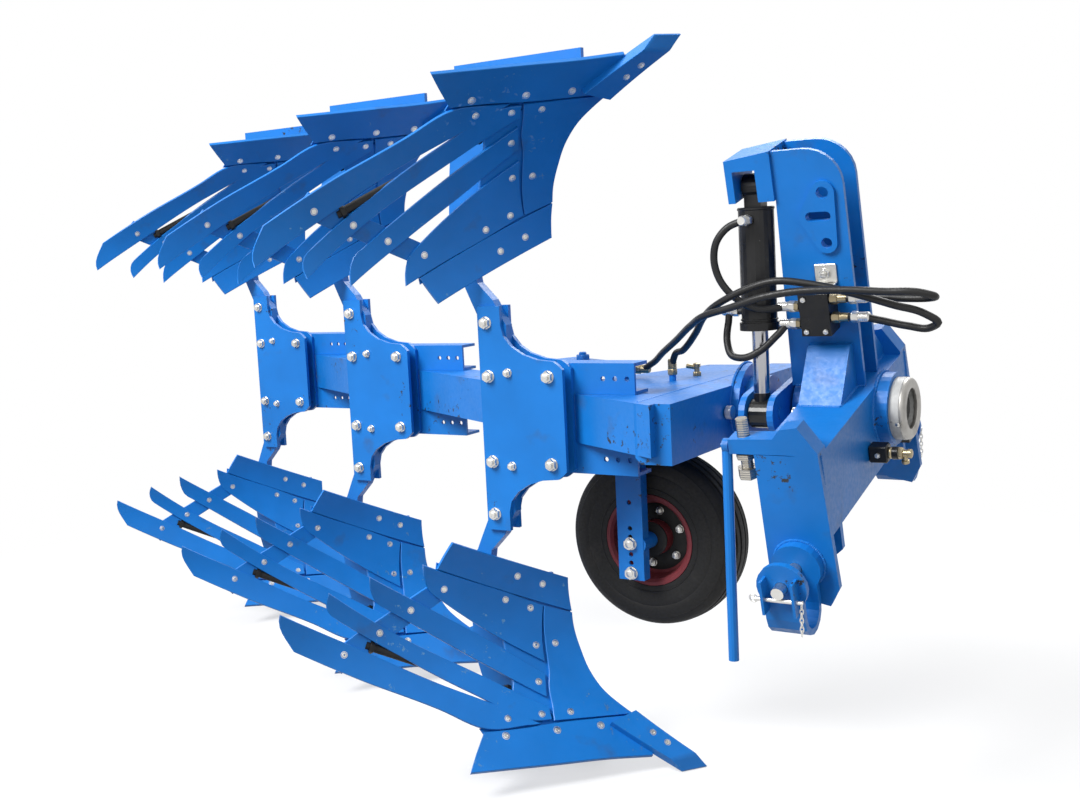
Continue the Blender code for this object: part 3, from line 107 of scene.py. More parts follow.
SEAT_TAIL = (0.540, 0.520, 0.500, 0.480, 0.400)
SHARE_TOP = ((0.050, 0.176), (0.170, 0.188), (0.300, 0.199), (0.410, 0.202), (0.523, 0.213))
SHARE_LOW = ((0.110, 0.040), (0.240, 0.058), (0.380, 0.070), (0.520, 0.083), (0.649, 0.095))
TIE_ENDS = ((0.735, 0.600), (0.345, 0.335))
TIE_RADIUS = 0.011
TIE_NUT = (0.030, 0.012)  # width across the flats and height
GAP = 0.0003  # air between plates that lie on each other
POINT_THICK = 0.020
POINT_ROOT = ((0.053, 0.182), (0.153, 0.158))
POINT_TIP = ((-0.007, -0.023), (0.077, -0.023))
POINT_BEVEL = 0.17

# Bolts in the boards: distance from the landside and height, in metres
BOARD_BOLTS = ((0.102, 0.289), (0.163, 0.136), (0.147, 0.292), (0.185, 0.210), (0.225, 0.142), (0.129, 0.383),
               (0.183, 0.414), (0.148, 0.469), (0.089, 0.438), (0.324, 0.466), (0.404, 0.427), (0.481, 0.384),
               (0.568, 0.347), (0.300, 0.146))
SHARE_BOLTS = ((0.330, 0.113), (0.220, 0.105), (0.125, 0.098))
POINT_BOLTS = ((0.045, 0.060), (0.036, 0.036))
CLAMP_BOLTS = (  # place along the beam, distance from the axis, bolt radius
    (-0.931, 0.242, 0.0082), (-0.930, 0.108, 0.0082), (-0.874, 0.117, 0.0058), (-0.760, 0.108, 0.0082),
)
CLAMP_FAR = 0.2  # the bolts beyond this distance show on the far side too
CLAMP_FACES = (-0.3570, -0.3030)  # outer faces of the near and far clamp plates
NUT = 0.0055  # bolt radius of the boards' and the wheel's nuts

# Hose routes, as in the CAD
HOSE_RADIUS = 0.0085
HOSE_TOP = (
    (-0.345, -0.098, 0.484), (-0.372, -0.110, 0.455), (-0.382, -0.116, 0.415), (-0.374, -0.120, 0.368),
    (-0.338, -0.121, 0.318), (-0.290, -0.120, 0.292), (-0.250, -0.108, 0.289),
)
HOSE_LOW = (
    (-0.252, -0.116, 0.228), (-0.290, -0.136, 0.196), (-0.330, -0.142, 0.180), (-0.364, -0.132, 0.182),
    (-0.382, -0.108, 0.206), (-0.384, -0.082, 0.245),
)
HOSE_OUT = (
    (-0.018, -0.103, 0.308), (0.042, -0.104, 0.304), (0.093, -0.113, 0.307), (0.109, -0.129, 0.315),
    (0.085, -0.145, 0.330), (0.010, -0.155, 0.338), (-0.080, -0.161, 0.346), (-0.180, -0.170, 0.348),
    (-0.260, -0.177, 0.338), (-0.330, -0.174, 0.316), (-0.405, -0.159, 0.292), (-0.472, -0.105, 0.247),
)
HOSE_BACK = (
    (-0.023, -0.101, 0.254), (0.037, -0.104, 0.241), (0.084, -0.106, 0.236), (0.105, -0.112, 0.250),
    (0.080, -0.119, 0.274), (0.022, -0.130, 0.298), (-0.060, -0.135, 0.328), (-0.150, -0.140, 0.354),
    (-0.235, -0.146, 0.366), (-0.300, -0.150, 0.350), (-0.370, -0.146, 0.318), (-0.437, -0.100, 0.266),
    (-0.482, -0.059, 0.213),
)
HOSE_OUT_END = ((-0.545, -0.088, 0.171), (-0.616, -0.018, 0.133), (-0.680, 0.042, 0.096))
HOSE_BACK_END = ((-0.545, -0.052, 0.142), (-0.586, -0.012, 0.126))
PORT_FLAT = (-0.725, 0.055, 0.082)
PORT_TALL = (-0.600, 0.000, 0.080)
CYLINDER_X, PIVOT_Z = -0.308, 0.553
SWING = math.radians(-14.235583409)
BARREL = 0.041
VALVE = (-0.197, -0.129)  # the valve block's rear and front faces
VALVE_ROW = -0.100
REAR_PORTS, FRONT_PORTS = (0.290, 0.248), (0.306, 0.262)  # heights of the ports
WHEEL = np.array([-0.634, -0.040, -0.340])
FORK_TOP = 0.050
ROD_EYE = (-0.308, -0.136, 0.0)

# Arm of the headstock, in its own level frame
ARM_REAR, ARM_FRONT = -0.205, -0.065
ARM_ENDS = ((-1, 0.450), (1, 0.200))  # side and reach
LINK_PINS = ((-1, 0.5643), (1, 0.3143))  # side and outer face of the straps
LINK_PIN_Z = -0.1995
COUPLING = (0.0, -0.130, -0.055)
LOCK_PIN = 0.0048

# Half of the tyre's section: radius and distance from its middle plane
TYRE = (
    (0.1107, 0.0510), (0.1197, 0.0583), (0.1204, 0.0653), (0.1265, 0.0668), (0.1330, 0.0664),
    (0.1345, 0.0678), (0.1370, 0.0664), (0.1485, 0.0678), (0.1600, 0.0680), (0.1700, 0.0680),
    (0.1720, 0.0670), (0.1745, 0.0679), (0.1850, 0.0672), (0.1950, 0.0655), (0.2030, 0.0632),
    (0.2040, 0.0612), (0.2060, 0.0600), (0.2120, 0.0572), (0.2170, 0.0535), (0.2215, 0.0480),
    (0.2240, 0.0425), (0.2246, 0.0400), (0.2190, 0.0385), (0.2192, 0.0335), (0.2262, 0.0320),
    (0.2275, 0.0180), (0.2205, 0.0165), (0.2205, 0.0115), (0.2282, 0.0100), (0.2285, 0.0),
)
LEG_BOLTS = ((-0.655, -0.165, -0.338), (-0.655, -0.165, -0.414))

# Looks
TONE = 0.10  # how far a paint's patches are darker or lighter
SOIL, SCRATCH, DUST = 0.55, 0.35, 0.45  # how much of each wear shows
DUST_COLOUR = (0.33, 0.29, 0.24)
FORK_BLACK = (0.010, 0.010, 0.010)
DUST_LEVEL = -0.86

# Lights: name, place, share of the key's power, size
LIGHTS = (
    ("key", (-3.0, -4.6, 4.6), 1.0, 3.0),
    ("fill", (3.5, -4.5, 3.5), 0.08, 3.5),
    ("rim", (-1.0, 4.5, 4.5), 0.4, 3.5),
)
AIM = (-1.1, 0.1, -0.1)
WHITE = (1, 1, 1, 1)


# Numpy geometry.  A piece is a list of (vertices, faces) parts.


def unit(v):
    """The vectors at length one."""
    return v / np.linalg.norm(v, axis=-1, keepdims=True)


def head(points):
    """The leaning headstock's points in the level frame: a turn by HEAD_LEAN about X."""
    p = np.asarray(points, float)
    c, s = math.cos(HEAD_LEAN), math.sin(HEAD_LEAN)
    return np.stack([p[..., 0], p[..., 1] * c - p[..., 2] * s, p[..., 1] * s + p[..., 2] * c], -1)


def resample(points, count):
    """Count points on the cubic Hermite curve through the points, with tangents by their chord length."""
    p = np.asarray(points, float)
    s = np.concatenate([[0.0], np.cumsum(np.linalg.norm(np.diff(p, axis=0), axis=1))])
    slope = np.gradient(p, s, axis=0)
    t = np.linspace(0.0, s[-1], count)
    i = np.clip(np.searchsorted(s, t, "right") - 1, 0, len(s) - 2)
    h = (s[i + 1] - s[i])[:, None]
    u = ((t - s[i])[:, None]) / h
    return ((1 + 2 * u) * (1 - u) ** 2 * p[i] + u * (1 - u) ** 2 * h * slope[i]
            + u * u * (3 - 2 * u) * p[i + 1] + u * u * (u - 1) * h * slope[i + 1])


def loft(rows, ring=False):
    """A closed body through rows of points: row n joins row n + 1.

    A ring's last row joins its first, and other bodies get flat caps.
    """
    rows = np.asarray(rows, float)
    n, k = rows.shape[:2]
    verts = rows.reshape(-1, 3)
    i = np.arange(n if ring else n - 1)[:, None]
    j = np.arange(k)[None, :]
    a, b = i * k + j, i * k + (j + 1) % k
    up = ((i + 1) % n) * k
    quads = np.stack([a, b, up + (j + 1) % k, up + j], -1).reshape(-1, 4)
    tris = np.concatenate([quads[:, [0, 1, 2]], quads[:, [0, 2, 3]]])
    caps = [] if ring else [list(range(k))[::-1], list(range((n - 1) * k, n * k))]
    fans = [(c[0], c[m], c[m + 1]) for c in caps for m in range(1, k - 1)]
    tris = np.concatenate([tris, np.array(fans, int)]) if fans else tris
    middle = verts - verts.mean(0)
    volume = np.einsum("ij,ij->i", middle[tris[:, 0]], np.cross(middle[tris[:, 1]], middle[tris[:, 2]])).sum()
    faces = quads.tolist() + caps
    return verts, [f[::-1] for f in faces] if volume < 0 else faces


def moved(part, offset=(0, 0, 0), mirror=False):
    """The part reflected in the level plane through the axis if asked, then moved by the offset."""
    verts, faces = part
    verts = verts * np.array([1, 1, -1]) if mirror else verts
    return verts + np.asarray(offset), [f[::-1] for f in faces] if mirror else faces


def sides_of(direction):
    """The direction and two more unit vectors, all square to each other."""
    d = unit(np.asarray(direction, float))
    first = unit(np.cross(d, [0.0, 0.0, 1.0] if abs(d[2]) < 0.9 else [1.0, 0.0, 0.0]))
    return d, first, np.cross(d, first)


def circle(first, second, count):
    """Count points of cos a first + sin a second."""
    a = np.linspace(0, 2 * math.pi, count, endpoint=False)[:, None]
    return np.cos(a) * first + np.sin(a) * second


def turned(origin, direction, profile, sides=32, ring=False):
    """The profile of (radius, distance along) turned about the direction.

    The point at radius r, distance z and angle a is origin + z d + r (cos a first + sin a second).
    """
    d, first, second = sides_of(direction)
    outline = circle(first, second, sides)
    return loft([np.asarray(origin) + z * d + r * outline for r, z in profile], ring)


def hexagon(origin, direction, across, height):
    """A chamfered hexagon head of radius half / cos(((angle + 30) mod 60) - 30), cut back at both ends."""
    d, first, second = sides_of(direction)
    a = np.linspace(0, 2 * math.pi, 36, endpoint=False)
    half = across / 2
    radius = half / np.cos((a + math.pi / 6) % (math.pi / 3) - math.pi / 6)
    cut = np.minimum(radius, half * 1.04)
    rows = []
    for level, r in ((0.0, cut), (0.06, radius), (0.86, radius), (1.0, cut * 0.96)):
        rows.append(np.asarray(origin) + level * height * d + r[:, None] * circle(first, second, 36))
    return loft(rows)


def bolt(origin, direction, size, washer=True, thread=0.0):
    """Washer, hexagon and the bolt's end, on a face at the origin.  Size is the bolt's radius."""
    o, d = np.asarray(origin, float), unit(np.asarray(direction, float))
    parts = []
    lift = 0.0
    if washer:
        lift = 0.25 * size
        parts.append(turned(o, d, ((1.95 * size, 0.0), (2.0 * size, 0.4 * lift), (1.9 * size, lift)), 28))
    tall = 1.25 * size
    parts.append(hexagon(o + lift * d, d, 3.2 * size, tall))
    sunk = 0.3 * size
    end = max(thread, 0.12 * size)
    shank = ((size, 0), (size, sunk + end), (0.8 * size, 0.4 * size + end))
    parts.append(turned(o + (lift + tall - sunk) * d, d, shank, 20))
    return parts


def flush_head(origin, direction, radius):
    """A plough bolt's countersunk head: a shallow dome in a ring groove."""
    rings = ((1, -0.6 * radius), (1, 0.0002), (0.86, 0.0004), (0.78, -0.0010), (0.70, 0.0010), (0.52, 0.0014),
             (0.30, 0.0014), (0.24, 0.0001), (0.02, 0.0001))
    return turned(origin, direction, [(share * radius, z) for share, z in rings], 28)


def swept(points, radius, sides=16, ring=False):
    """A round tube along the points, of one radius or one for each: circles whose start never twists."""
    p = np.asarray(points, float)
    radii = np.broadcast_to(np.asarray(radius, float), (len(p),))
    along = unit(np.gradient(p, axis=0))
    if ring:
        along = unit(np.roll(p, -1, 0) - np.roll(p, 1, 0))
    _, first, _ = sides_of(along[0])
    rows = []
    for centre, d, r in zip(p, along, radii):
        first = unit(first - np.dot(first, d) * d)
        rows.append(centre + r * circle(first, np.cross(d, first), sides))
    return loft(rows, ring)


def block(centre, axes, half, round_off=0.002):
    """A box along three unit axes with chamfered edges."""
    x, y, z = (np.asarray(a, float) for a in axes)
    rows = []
    for level, inset in ((-1, 1), (-1, 0), (1, 0), (1, 1)):
        shift = half[0] - (round_off if inset == 0 else 0.0)
        a, b = half[1] - inset * round_off, half[2] - inset * round_off
        c = round_off
        loop = ((a, b - c), (a - c, b), (c - a, b), (-a, b - c),
                (-a, c - b), (c - a, -b), (a - c, -b), (a, c - b))
        rows.append([np.asarray(centre) + level * shift * x + u * y + v * z for u, v in loop])
    return loft(rows)


def weld(points, radius=0.003, ring=False):
    """A weld bead along the points: a tube whose radius swells by two sines of the step's number."""
    p = np.asarray(points, float)
    length = np.linalg.norm(np.diff(p, axis=0), axis=1).sum()
    count = max(int(length / RIPPLE * 3), 8)
    if len(p) == 2:
        p = np.array([p[0] + (p[1] - p[0]) * t for t in np.linspace(0, 1, count)])
    else:
        p = resample(p, count)
    step = np.arange(count)
    r = radius * (1 + 0.14 * np.sin(step * 2.1) + 0.08 * np.sin(step * 0.71))
    return swept(p[:-1] if ring else p, r[:-1] if ring else r, 8, ring)


def circle_points(origin, direction, radius, count=59):
    """Count points of the circle about the direction, and the first one again."""
    _, first, second = sides_of(direction)
    points = np.asarray(origin) + radius * circle(first, second, count)
    return np.concatenate([points, points[:1]])


# The mouldboard's surface


def normal(d, h):
    """Unit normal of x(d, h) = start - sweep d - rake h + h^2 / curl + d h / twist."""
    across = -SWEEP + h / TWIST
    upwards = -RAKE + 2 * h / CURL + d / TWIST
    return unit(np.stack([np.ones_like(d), across, -upwards], -1))


def on_face(d, h, depth=0.0):
    """Points x(d, h) of the face, moved back along its normal by the depth."""
    d, h = np.asarray(d, float), np.asarray(h, float)
    x = FACE_START - SWEEP * d - RAKE * h + h * h / CURL + d * h / TWIST
    point = np.stack([x, LANDSIDE_Y - d, h - GROUND], -1)
    return point - np.asarray(depth)[..., None] * normal(d, h)


def slab(low, top, front, back, cut=(), rows=36, cols=7, smooth=True):
    """A plate on the surface between two edges, from depth front to back, with rounded edges:
    p(t, s) = (1 - s) low(t) + s top(t), bowed out at its tail to the cut's points."""
    if smooth:
        a, b = resample(np.asarray(low) * BOARD, rows), resample(np.asarray(top) * BOARD, rows)
    else:
        a, b = np.asarray(low) * BOARD, np.asarray(top) * BOARD
    rows = len(a)
    s = np.linspace(0, 1, cols)[None, :, None]
    grid = (1 - s) * a[:, None] + s * b[:, None]
    if cut:
        tail = resample(np.array([a[-1], *(np.asarray(cut) * BOARD), b[-1]]), cols)
        weight = np.clip((np.linspace(0, 1, rows) - 0.86) / 0.14, 0, 1) ** 2
        grid = grid + weight[:, None, None] * (tail - grid[-1])[None]
    across = unit(grid[:, -1] - grid[:, 0])[:, None]
    inner = grid.copy()
    inner[:, :1] += EDGE * across
    inner[:, -1:] -= EDGE * across
    f = np.broadcast_to(np.asarray(front, float), (rows,))[:, None]
    k = np.full((rows, 1), float(back))
    edge = np.minimum(EDGE, (k - f) / 3)
    layers = [on_face(inner[..., 0], inner[..., 1], f + 0 * inner[..., 0])]
    for column, depth in ((-1, f + edge), (-1, k - edge)):
        layers.append(on_face(grid[:, column:, 0], grid[:, column:, 1], depth))
    back_face = on_face(inner[..., 0], inner[..., 1], k + 0 * inner[..., 0])
    layers.append(back_face[:, ::-1])
    for depth in (k - edge, f + edge):
        layers.append(on_face(grid[:, :1, 0], grid[:, :1, 1], depth))
    return loft(np.concatenate(layers, 1))


def band(rows, land, tail, front, back):
    """A slab between two edges that are given at the same heights."""
    low = [(d, h) for d, h in zip(land, rows)]
    top = [(d, h) for d, h in zip(tail, rows)]
    return slab(low, top, front, back, smooth=False)


def board_parts():
    """The lower board of the first station."""
    parts = [slab(SHIN_SEAM, SHIN_EDGE, 0.0, SLAT), slab(STRIP_LOW, STRIP_TOP, 0.0, SLAT)]
    parts += [slab(low, top, 0.0, SLAT, cut, 44) for top, low, cut in SLATS]
    parts.append(band(BACK_ROWS, BACK_LAND, BACK_TAIL, SLAT, SLAT + BACKING))
    seat = SHARE + 0.0007
    parts.append(band(SEAT_ROWS, SEAT_LAND, SEAT_TAIL, seat, seat + BACKING))
    bar = np.asarray(TAIL_BAR) * BOARD
    along = unit(np.gradient(bar, axis=0))
    side = np.stack([-along[:, 1], along[:, 0]], -1)
    half = TAIL_BAR_WIDE / 2
    low, top = (bar - half * side) / BOARD, (bar + half * side) / BOARD
    parts.append(slab(low, top, SLAT + GAP, 2 * SLAT))
    for path, level, reach in ((STRIP_LOW, SLAT + GAP, 0.024), (SHARE_TOP, SHARE + GAP, 0.020)):
        seam = np.asarray(path)
        parts.append(slab(seam - (0, reach), seam + (0, reach), level, level + 0.004))
    return parts


def tie_parts():
    """The round tie between the lowest slat's tail and the backing, with its two nuts."""
    start, end = (np.asarray(p) * BOARD for p in TIE_ENDS)
    a, b = on_face(*start, SLAT + 0.006), on_face(*end, SLAT + BACKING + 0.012)
    way = unit(b - a)
    rod = swept([a + (b - a) * t for t in np.linspace(0, 1, 6)], TIE_RADIUS, 20)
    return [rod, hexagon(a + 0.010 * way, way, *TIE_NUT), hexagon(b - 0.022 * way, way, *TIE_NUT)]


def share_parts():
    """The lower share of the first station with its point bar."""
    root, tip = np.asarray(POINT_ROOT), np.asarray(POINT_TIP)
    t = np.linspace(0, 1, 25)[:, None]
    low, top = root[0] + (tip[0] - root[0]) * t, root[1] + (tip[1] - root[1]) * t
    front = -POINT_THICK * np.clip((1 - t[:, 0]) / POINT_BEVEL, 0.02, 1)
    return [slab(SHARE_LOW, SHARE_TOP, 0.0, SHARE), slab(low, top, front, SINK, rows=25)]


# Objects


def make(name, parts, material, body=None, angle=35, replaces=()):
    """One object from its parts, shaded smooth up to the angle, riding on a body."""
    verts, faces, start = [], [], 0
    for v, f in parts:
        verts.append(v)
        faces += [[i + start for i in face] for face in f]
        start += len(v)
    mesh = bpy.data.meshes.new(name)
    mesh.from_pydata(np.concatenate(verts), [], faces)
    mesh.shade_smooth()
    mesh.set_sharp_from_angle(angle=math.radians(angle))
    mesh.materials.append(bpy.data.materials[f"plough_{material}"])
    obj = bpy.data.objects.new(name, mesh)
    bpy.context.scene.collection.objects.link(obj)
    if body:
        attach(obj, body)
    if replaces:
        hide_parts(*replaces)
    return obj


def every_board(parts):
    """The parts at each station, below the axis and mirrored above it: (side, number, parts)."""
    for i in range(STATIONS):
        for side, mirror in (("lower", False), ("upper", True)):
            yield side, i + 1, [moved(p, STEP * i, mirror) for p in parts]


# Materials


def add(tree, kind, values=None, **settings):
    """A node with its settings; values fill its inputs by name or number, from a number or another output."""
    node = tree.nodes.new(kind)
    for key, value in settings.items():
        setattr(node, key, value)
    for key, value in (values or {}).items():
        if isinstance(value, bpy.types.NodeSocket):
            tree.links.new(value, node.inputs[key])
        else:
            node.inputs[key].default_value = value
    return node


def group(name, inputs, fill):
    """A node group of named numbers that puts out one mask; fill(tree, inputs) returns the mask's socket."""
    tree = bpy.data.node_groups.new(name, "ShaderNodeTree")
    for label, value in inputs.items():
        socket = tree.interface.new_socket(label, in_out="INPUT", socket_type="NodeSocketFloat")
        socket.default_value = value
    tree.interface.new_socket("Mask", in_out="OUTPUT", socket_type="NodeSocketFloat")
    given = tree.nodes.new("NodeGroupInput")
    result = tree.nodes.new("NodeGroupOutput")
    tree.links.new(fill(tree, given.outputs), result.inputs["Mask"])


def maths(tree, operation, *values):
    """The output of a Math node."""
    return add(tree, "ShaderNodeMath", dict(enumerate(values)), operation=operation).outputs[0]


def place_of(tree):
    """The point's place on the object."""
    return add(tree, "ShaderNodeTexCoord").outputs["Object"]


def height_of(tree):
    """The point's height."""
    return add(tree, "ShaderNodeSeparateXYZ", {0: place_of(tree)}).outputs["Z"]


def noise(tree, scale, detail=4.0, rough=0.55, vector=None):
    """Noise over the point's place or the given vector."""
    values = {"Vector": vector or place_of(tree), "Scale": scale, "Detail": detail, "Roughness": rough}
    return add(tree, "ShaderNodeTexNoise", values).outputs["Fac"]


def clipped(tree, value, low, high):
    """(value - low) / (high - low), kept between 0 and 1."""
    values = {"Value": value, "From Min": low, "From Max": high}
    return add(tree, "ShaderNodeMapRange", values).outputs["Result"]


def above(tree, value, level, amount, width):
    """0 where the value is below level - amount, 1 from the width above it."""
    low = maths(tree, "SUBTRACT", level, amount)
    return clipped(tree, value, low, maths(tree, "ADD", low, width))


def fill_grime(tree, given):
    """Soft patches where the noise is high."""
    return above(tree, noise(tree, given["Scale"]), 0.78, given["Amount"], 0.22)


def fill_chips(tree, given):
    """Small sharp chips, only inside larger patches."""
    fine = noise(tree, given["Scale"], 6.0, 0.7)
    patch = clipped(tree, noise(tree, 6.0, 2.0), 0.42, 0.62)
    return above(tree, maths(tree, "MULTIPLY", fine, patch), 0.74, given["Amount"], 0.02)


def fill_dust(tree, given):
    """Dust, full where height + noise / 2 is under the level and gone at the depth above it."""
    height = height_of(tree)
    lift = maths(tree, "MULTIPLY_ADD", noise(tree, 14.0, 5.0, 0.65), 0.5, height)
    end = maths(tree, "ADD", given["Level"], given["Depth"])
    return clipped(tree, lift, end, given["Level"])


def fill_streaks(tree, given):
    """Fine scratches: noise stretched along the travel and the height."""
    values = {0: place_of(tree), 1: (0.05, 1.0, 0.6)}
    stretch = add(tree, "ShaderNodeVectorMath", values, operation="MULTIPLY").outputs[0]
    mark = noise(tree, given["Scale"], 3.0, 0.6, stretch)
    return clipped(tree, mark, maths(tree, "SUBTRACT", 0.72, given["Amount"]), 0.9)


def mix(tree, factor, a, b):
    """Colour a where the factor is 0 and b where it is 1."""
    node = tree.nodes.new("ShaderNodeMix")
    node.data_type = "RGBA"
    for socket, value in zip((node.inputs["Factor"], node.inputs[6], node.inputs[7]), (factor, a, b)):
        if isinstance(value, bpy.types.NodeSocket):
            tree.links.new(value, socket)
        else:
            socket.default_value = value if isinstance(value, (int, float)) else (*value, 1.0)
    return node.outputs[2]


def worn_by(tree, name, share=1.0, **values):
    """The mask of a wear group, times the share."""
    node = tree.nodes.new("ShaderNodeGroup")
    node.node_tree = bpy.data.node_groups[name]
    for key, value in values.items():
        node.inputs[key].default_value = value
    mask = node.outputs["Mask"]
    return mask if share == 1.0 else maths(tree, "MULTIPLY", mask, share)


def finish(name, colour, roughness, metallic=0.0, worn=(0.30, 0.29, 0.28), grime=0.12, chips=0.0, dust=0.0,
           grain=60.0, bump=0.15, spread=0.10, dirt=(0.055, 0.050, 0.045), bands=0.0, black_below=None):
    """A surface: tone by noise, grime, scratches, dust near the ground, worn chips, and bump."""
    made = bpy.data.materials.new(f"plough_{name}")
    made.use_nodes = True
    tree = made.node_tree
    shader = tree.nodes["Principled BSDF"]
    tone = clipped(tree, noise(tree, 5.0, 3.0), 0.3, 0.7)
    darker = tuple(c * (1 - TONE) for c in colour)
    lighter = tuple(min(c * (1 + TONE), 1) for c in colour)
    base = mix(tree, tone, darker, lighter)
    base = mix(tree, worn_by(tree, "Grime", SOIL, Scale=9.0, Amount=grime), base, dirt)
    base = mix(tree, worn_by(tree, "Streaks", SCRATCH, Scale=160.0, Amount=-0.04), base, worn)
    if dust:
        base = mix(tree, worn_by(tree, "Dust", DUST, Level=DUST_LEVEL, Depth=dust), base, DUST_COLOUR)
    if black_below is not None:
        fork = clipped(tree, height_of(tree), black_below, black_below - 0.001)
        base = mix(tree, fork, base, FORK_BLACK)
        tree.links.new(maths(tree, "SUBTRACT", metallic, fork), shader.inputs["Metallic"])
    if chips:
        bare = worn_by(tree, "Chips", Scale=55.0, Amount=chips)
        base = mix(tree, bare, base, worn)
        if not metallic:
            tree.links.new(maths(tree, "MULTIPLY", bare, 0.7), shader.inputs["Metallic"])
    tree.links.new(base, shader.inputs["Base Color"])
    fine = noise(tree, grain, 5.0, 0.6)
    rough = add(tree, "ShaderNodeMapRange", {"Value": fine, "From Min": 0.3, "From Max": 0.7,
                                              "To Min": max(roughness - spread, 0.05),
                                              "To Max": roughness + spread})
    tree.links.new(rough.outputs["Result"], shader.inputs["Roughness"])
    height = fine
    if bands:
        values = {"Vector": place_of(tree), "Scale": bands, "Distortion": 0.0}
        height = add(tree, "ShaderNodeTexWave", values, bands_direction="Z").outputs["Fac"]
    relief = add(tree, "ShaderNodeBump", {"Height": height, "Strength": bump, "Distance": 0.001})
    tree.links.new(relief.outputs["Normal"], shader.inputs["Normal"])
    shader.inputs["Metallic"].default_value = metallic
    shader.inputs["Specular IOR Level"].default_value = 0.35


def build_materials(settings):
    """The wear groups and every finish, with the paint's colour and wear from the settings."""
    group("Grime", {"Scale": 9.0, "Amount": 0.1}, fill_grime)
    group("Chips", {"Scale": 55.0, "Amount": 0.1}, fill_chips)
    group("Dust", {"Level": DUST_LEVEL, "Depth": 0.3}, fill_dust)
    group("Streaks", {"Scale": 160.0, "Amount": 0.02}, fill_streaks)
    blue = tuple(settings.blue)
    bare = (0.045, 0.050, 0.058)
    pale = (0.10, 0.26, 0.50)
    finish("blue_frame", blue, 0.40, grime=0.20, chips=0.16 * settings.wear, worn=bare, dust=0.10, grain=90.0)
    finish("blue_board", blue, 0.38, grime=0.17, chips=0.13 * settings.wear, worn=pale, dust=0.16, grain=70.0)
    finish("blue_clean", blue, 0.40, grime=0.16, chips=0.14 * settings.wear, worn=bare, grain=120.0)
    finish("black_steel", (0.008, 0.008, 0.0085), 0.36, grime=0.12, chips=0.05, worn=(0.10, 0.10, 0.10),
           dirt=(0.022, 0.020, 0.018))
    finish("dull_black", (0.006, 0.006, 0.006), 0.6, grime=0.16, dirt=(0.02, 0.018, 0.016))
    finish("red_rim", (0.19, 0.030, 0.036), 0.55, grime=0.22, chips=0.08, worn=(0.10, 0.06, 0.05),
           dirt=(0.05, 0.035, 0.03))
    finish("chrome", (0.46, 0.46, 0.48), 0.18, 1.0, grime=0.10, spread=0.05, bump=0.02, black_below=FORK_TOP)
    finish("zinc", (0.66, 0.65, 0.62), 0.36, 1.0, grime=0.16, dirt=(0.12, 0.10, 0.08), bump=0.25)
    finish("zinc_dull", (0.40, 0.39, 0.37), 0.46, 1.0, grime=0.30, dirt=(0.10, 0.09, 0.08), bump=0.3)
    finish("zinc_thread", (0.40, 0.38, 0.34), 0.42, 1.0, grime=0.28, dirt=(0.12, 0.09, 0.06), bands=60.0,
           bump=0.8)
    finish("brass", (0.36, 0.30, 0.19), 0.38, 1.0, grime=0.26, dirt=(0.10, 0.08, 0.05))
    finish("cap_paint", (0.58, 0.58, 0.56), 0.42, grime=0.36, chips=0.20, worn=(0.12, 0.11, 0.10),
           dirt=(0.17, 0.16, 0.15))
    finish("tyre", (0.007, 0.0065, 0.006), 0.66, grime=0.20, dirt=(0.045, 0.040, 0.034), grain=140.0,
           bump=0.4)
    finish("hose", (0.012, 0.012, 0.012), 0.42, grime=0.14, dirt=(0.04, 0.036, 0.032), grain=260.0,
           bump=0.35)


CAD_LOOKS = (
    (("crossarm", "mast_near", "mast_far", "mast_head", "hitch_near", "hitch_far", "main_frame", "yoke",
      "wheel_leg", "stand_rod"), "blue_frame"),
    (("valve_block", "coupler", "cylinder_barrel"), "black_steel"),
    (("cylinder_rod",), "chrome"),
    (("link_pin_near", "link_pin_far"), "zinc"),
    (("stop_bolt_near", "stop_bolt_far"), "zinc_thread"),
    (("spindle_cap",), "cap_paint"),
    (("wheel_rim",), "red_rim"),
)


def dress_nodes():
    """Every CAD node that stays visible gets its detailed material through its slots."""
    looks = {node: look for nodes, look in CAD_LOOKS for node in nodes}
    for name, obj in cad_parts.items():
        look = looks.get(name, "blue_clean")
        for slot in obj.material_slots:
            slot.material = bpy.data.materials[f"plough_{look}"]


# Pieces


def build_boards():
    """The boards, their ties and the shares at every station."""
    for side, number, parts in every_board(board_parts()):
        make(f"board_{side}_{number}", parts, "blue_board", "plough_frame",
             replaces=(f"mouldboard_{side}_{number}",))
    for side, number, parts in every_board(tie_parts()):
        make(f"tie_{side}_{number}", parts, "dull_black", "plough_frame")
    for side, number, parts in every_board(share_parts()):
        make(f"share_blade_{side}_{number}", parts, "blue_board", "plough_frame",
             replaces=(f"share_{side}_{number}",))


def board_bolts():
    """Countersunk heads in the boards' faces and nuts behind them."""
    parts = []
    for d, h in BOARD_BOLTS:
        n = normal(np.float64(d), np.float64(h))
        parts.append(flush_head(on_face(d, h), n, 0.0088))
        behind = SLAT
        if d < 0.21 and 0.14 < h < 0.46:
            behind += BACKING
        if d > 0.3:
            behind += SLAT
        parts += bolt(on_face(d, h, behind), -n, NUT, thread=0.006)
    for d, h in SHARE_BOLTS:
        n = normal(np.float64(d), np.float64(h))
        parts.append(flush_head(on_face(d, h), n, 0.0100))
        parts += bolt(on_face(d, h, SHARE + BACKING + 0.001), -n, NUT, thread=0.005)
    for d, h in POINT_BOLTS:
        n = normal(np.float64(d), np.float64(h))
        parts.append(flush_head(on_face(d, h, -POINT_THICK), n, 0.0085))
    return parts


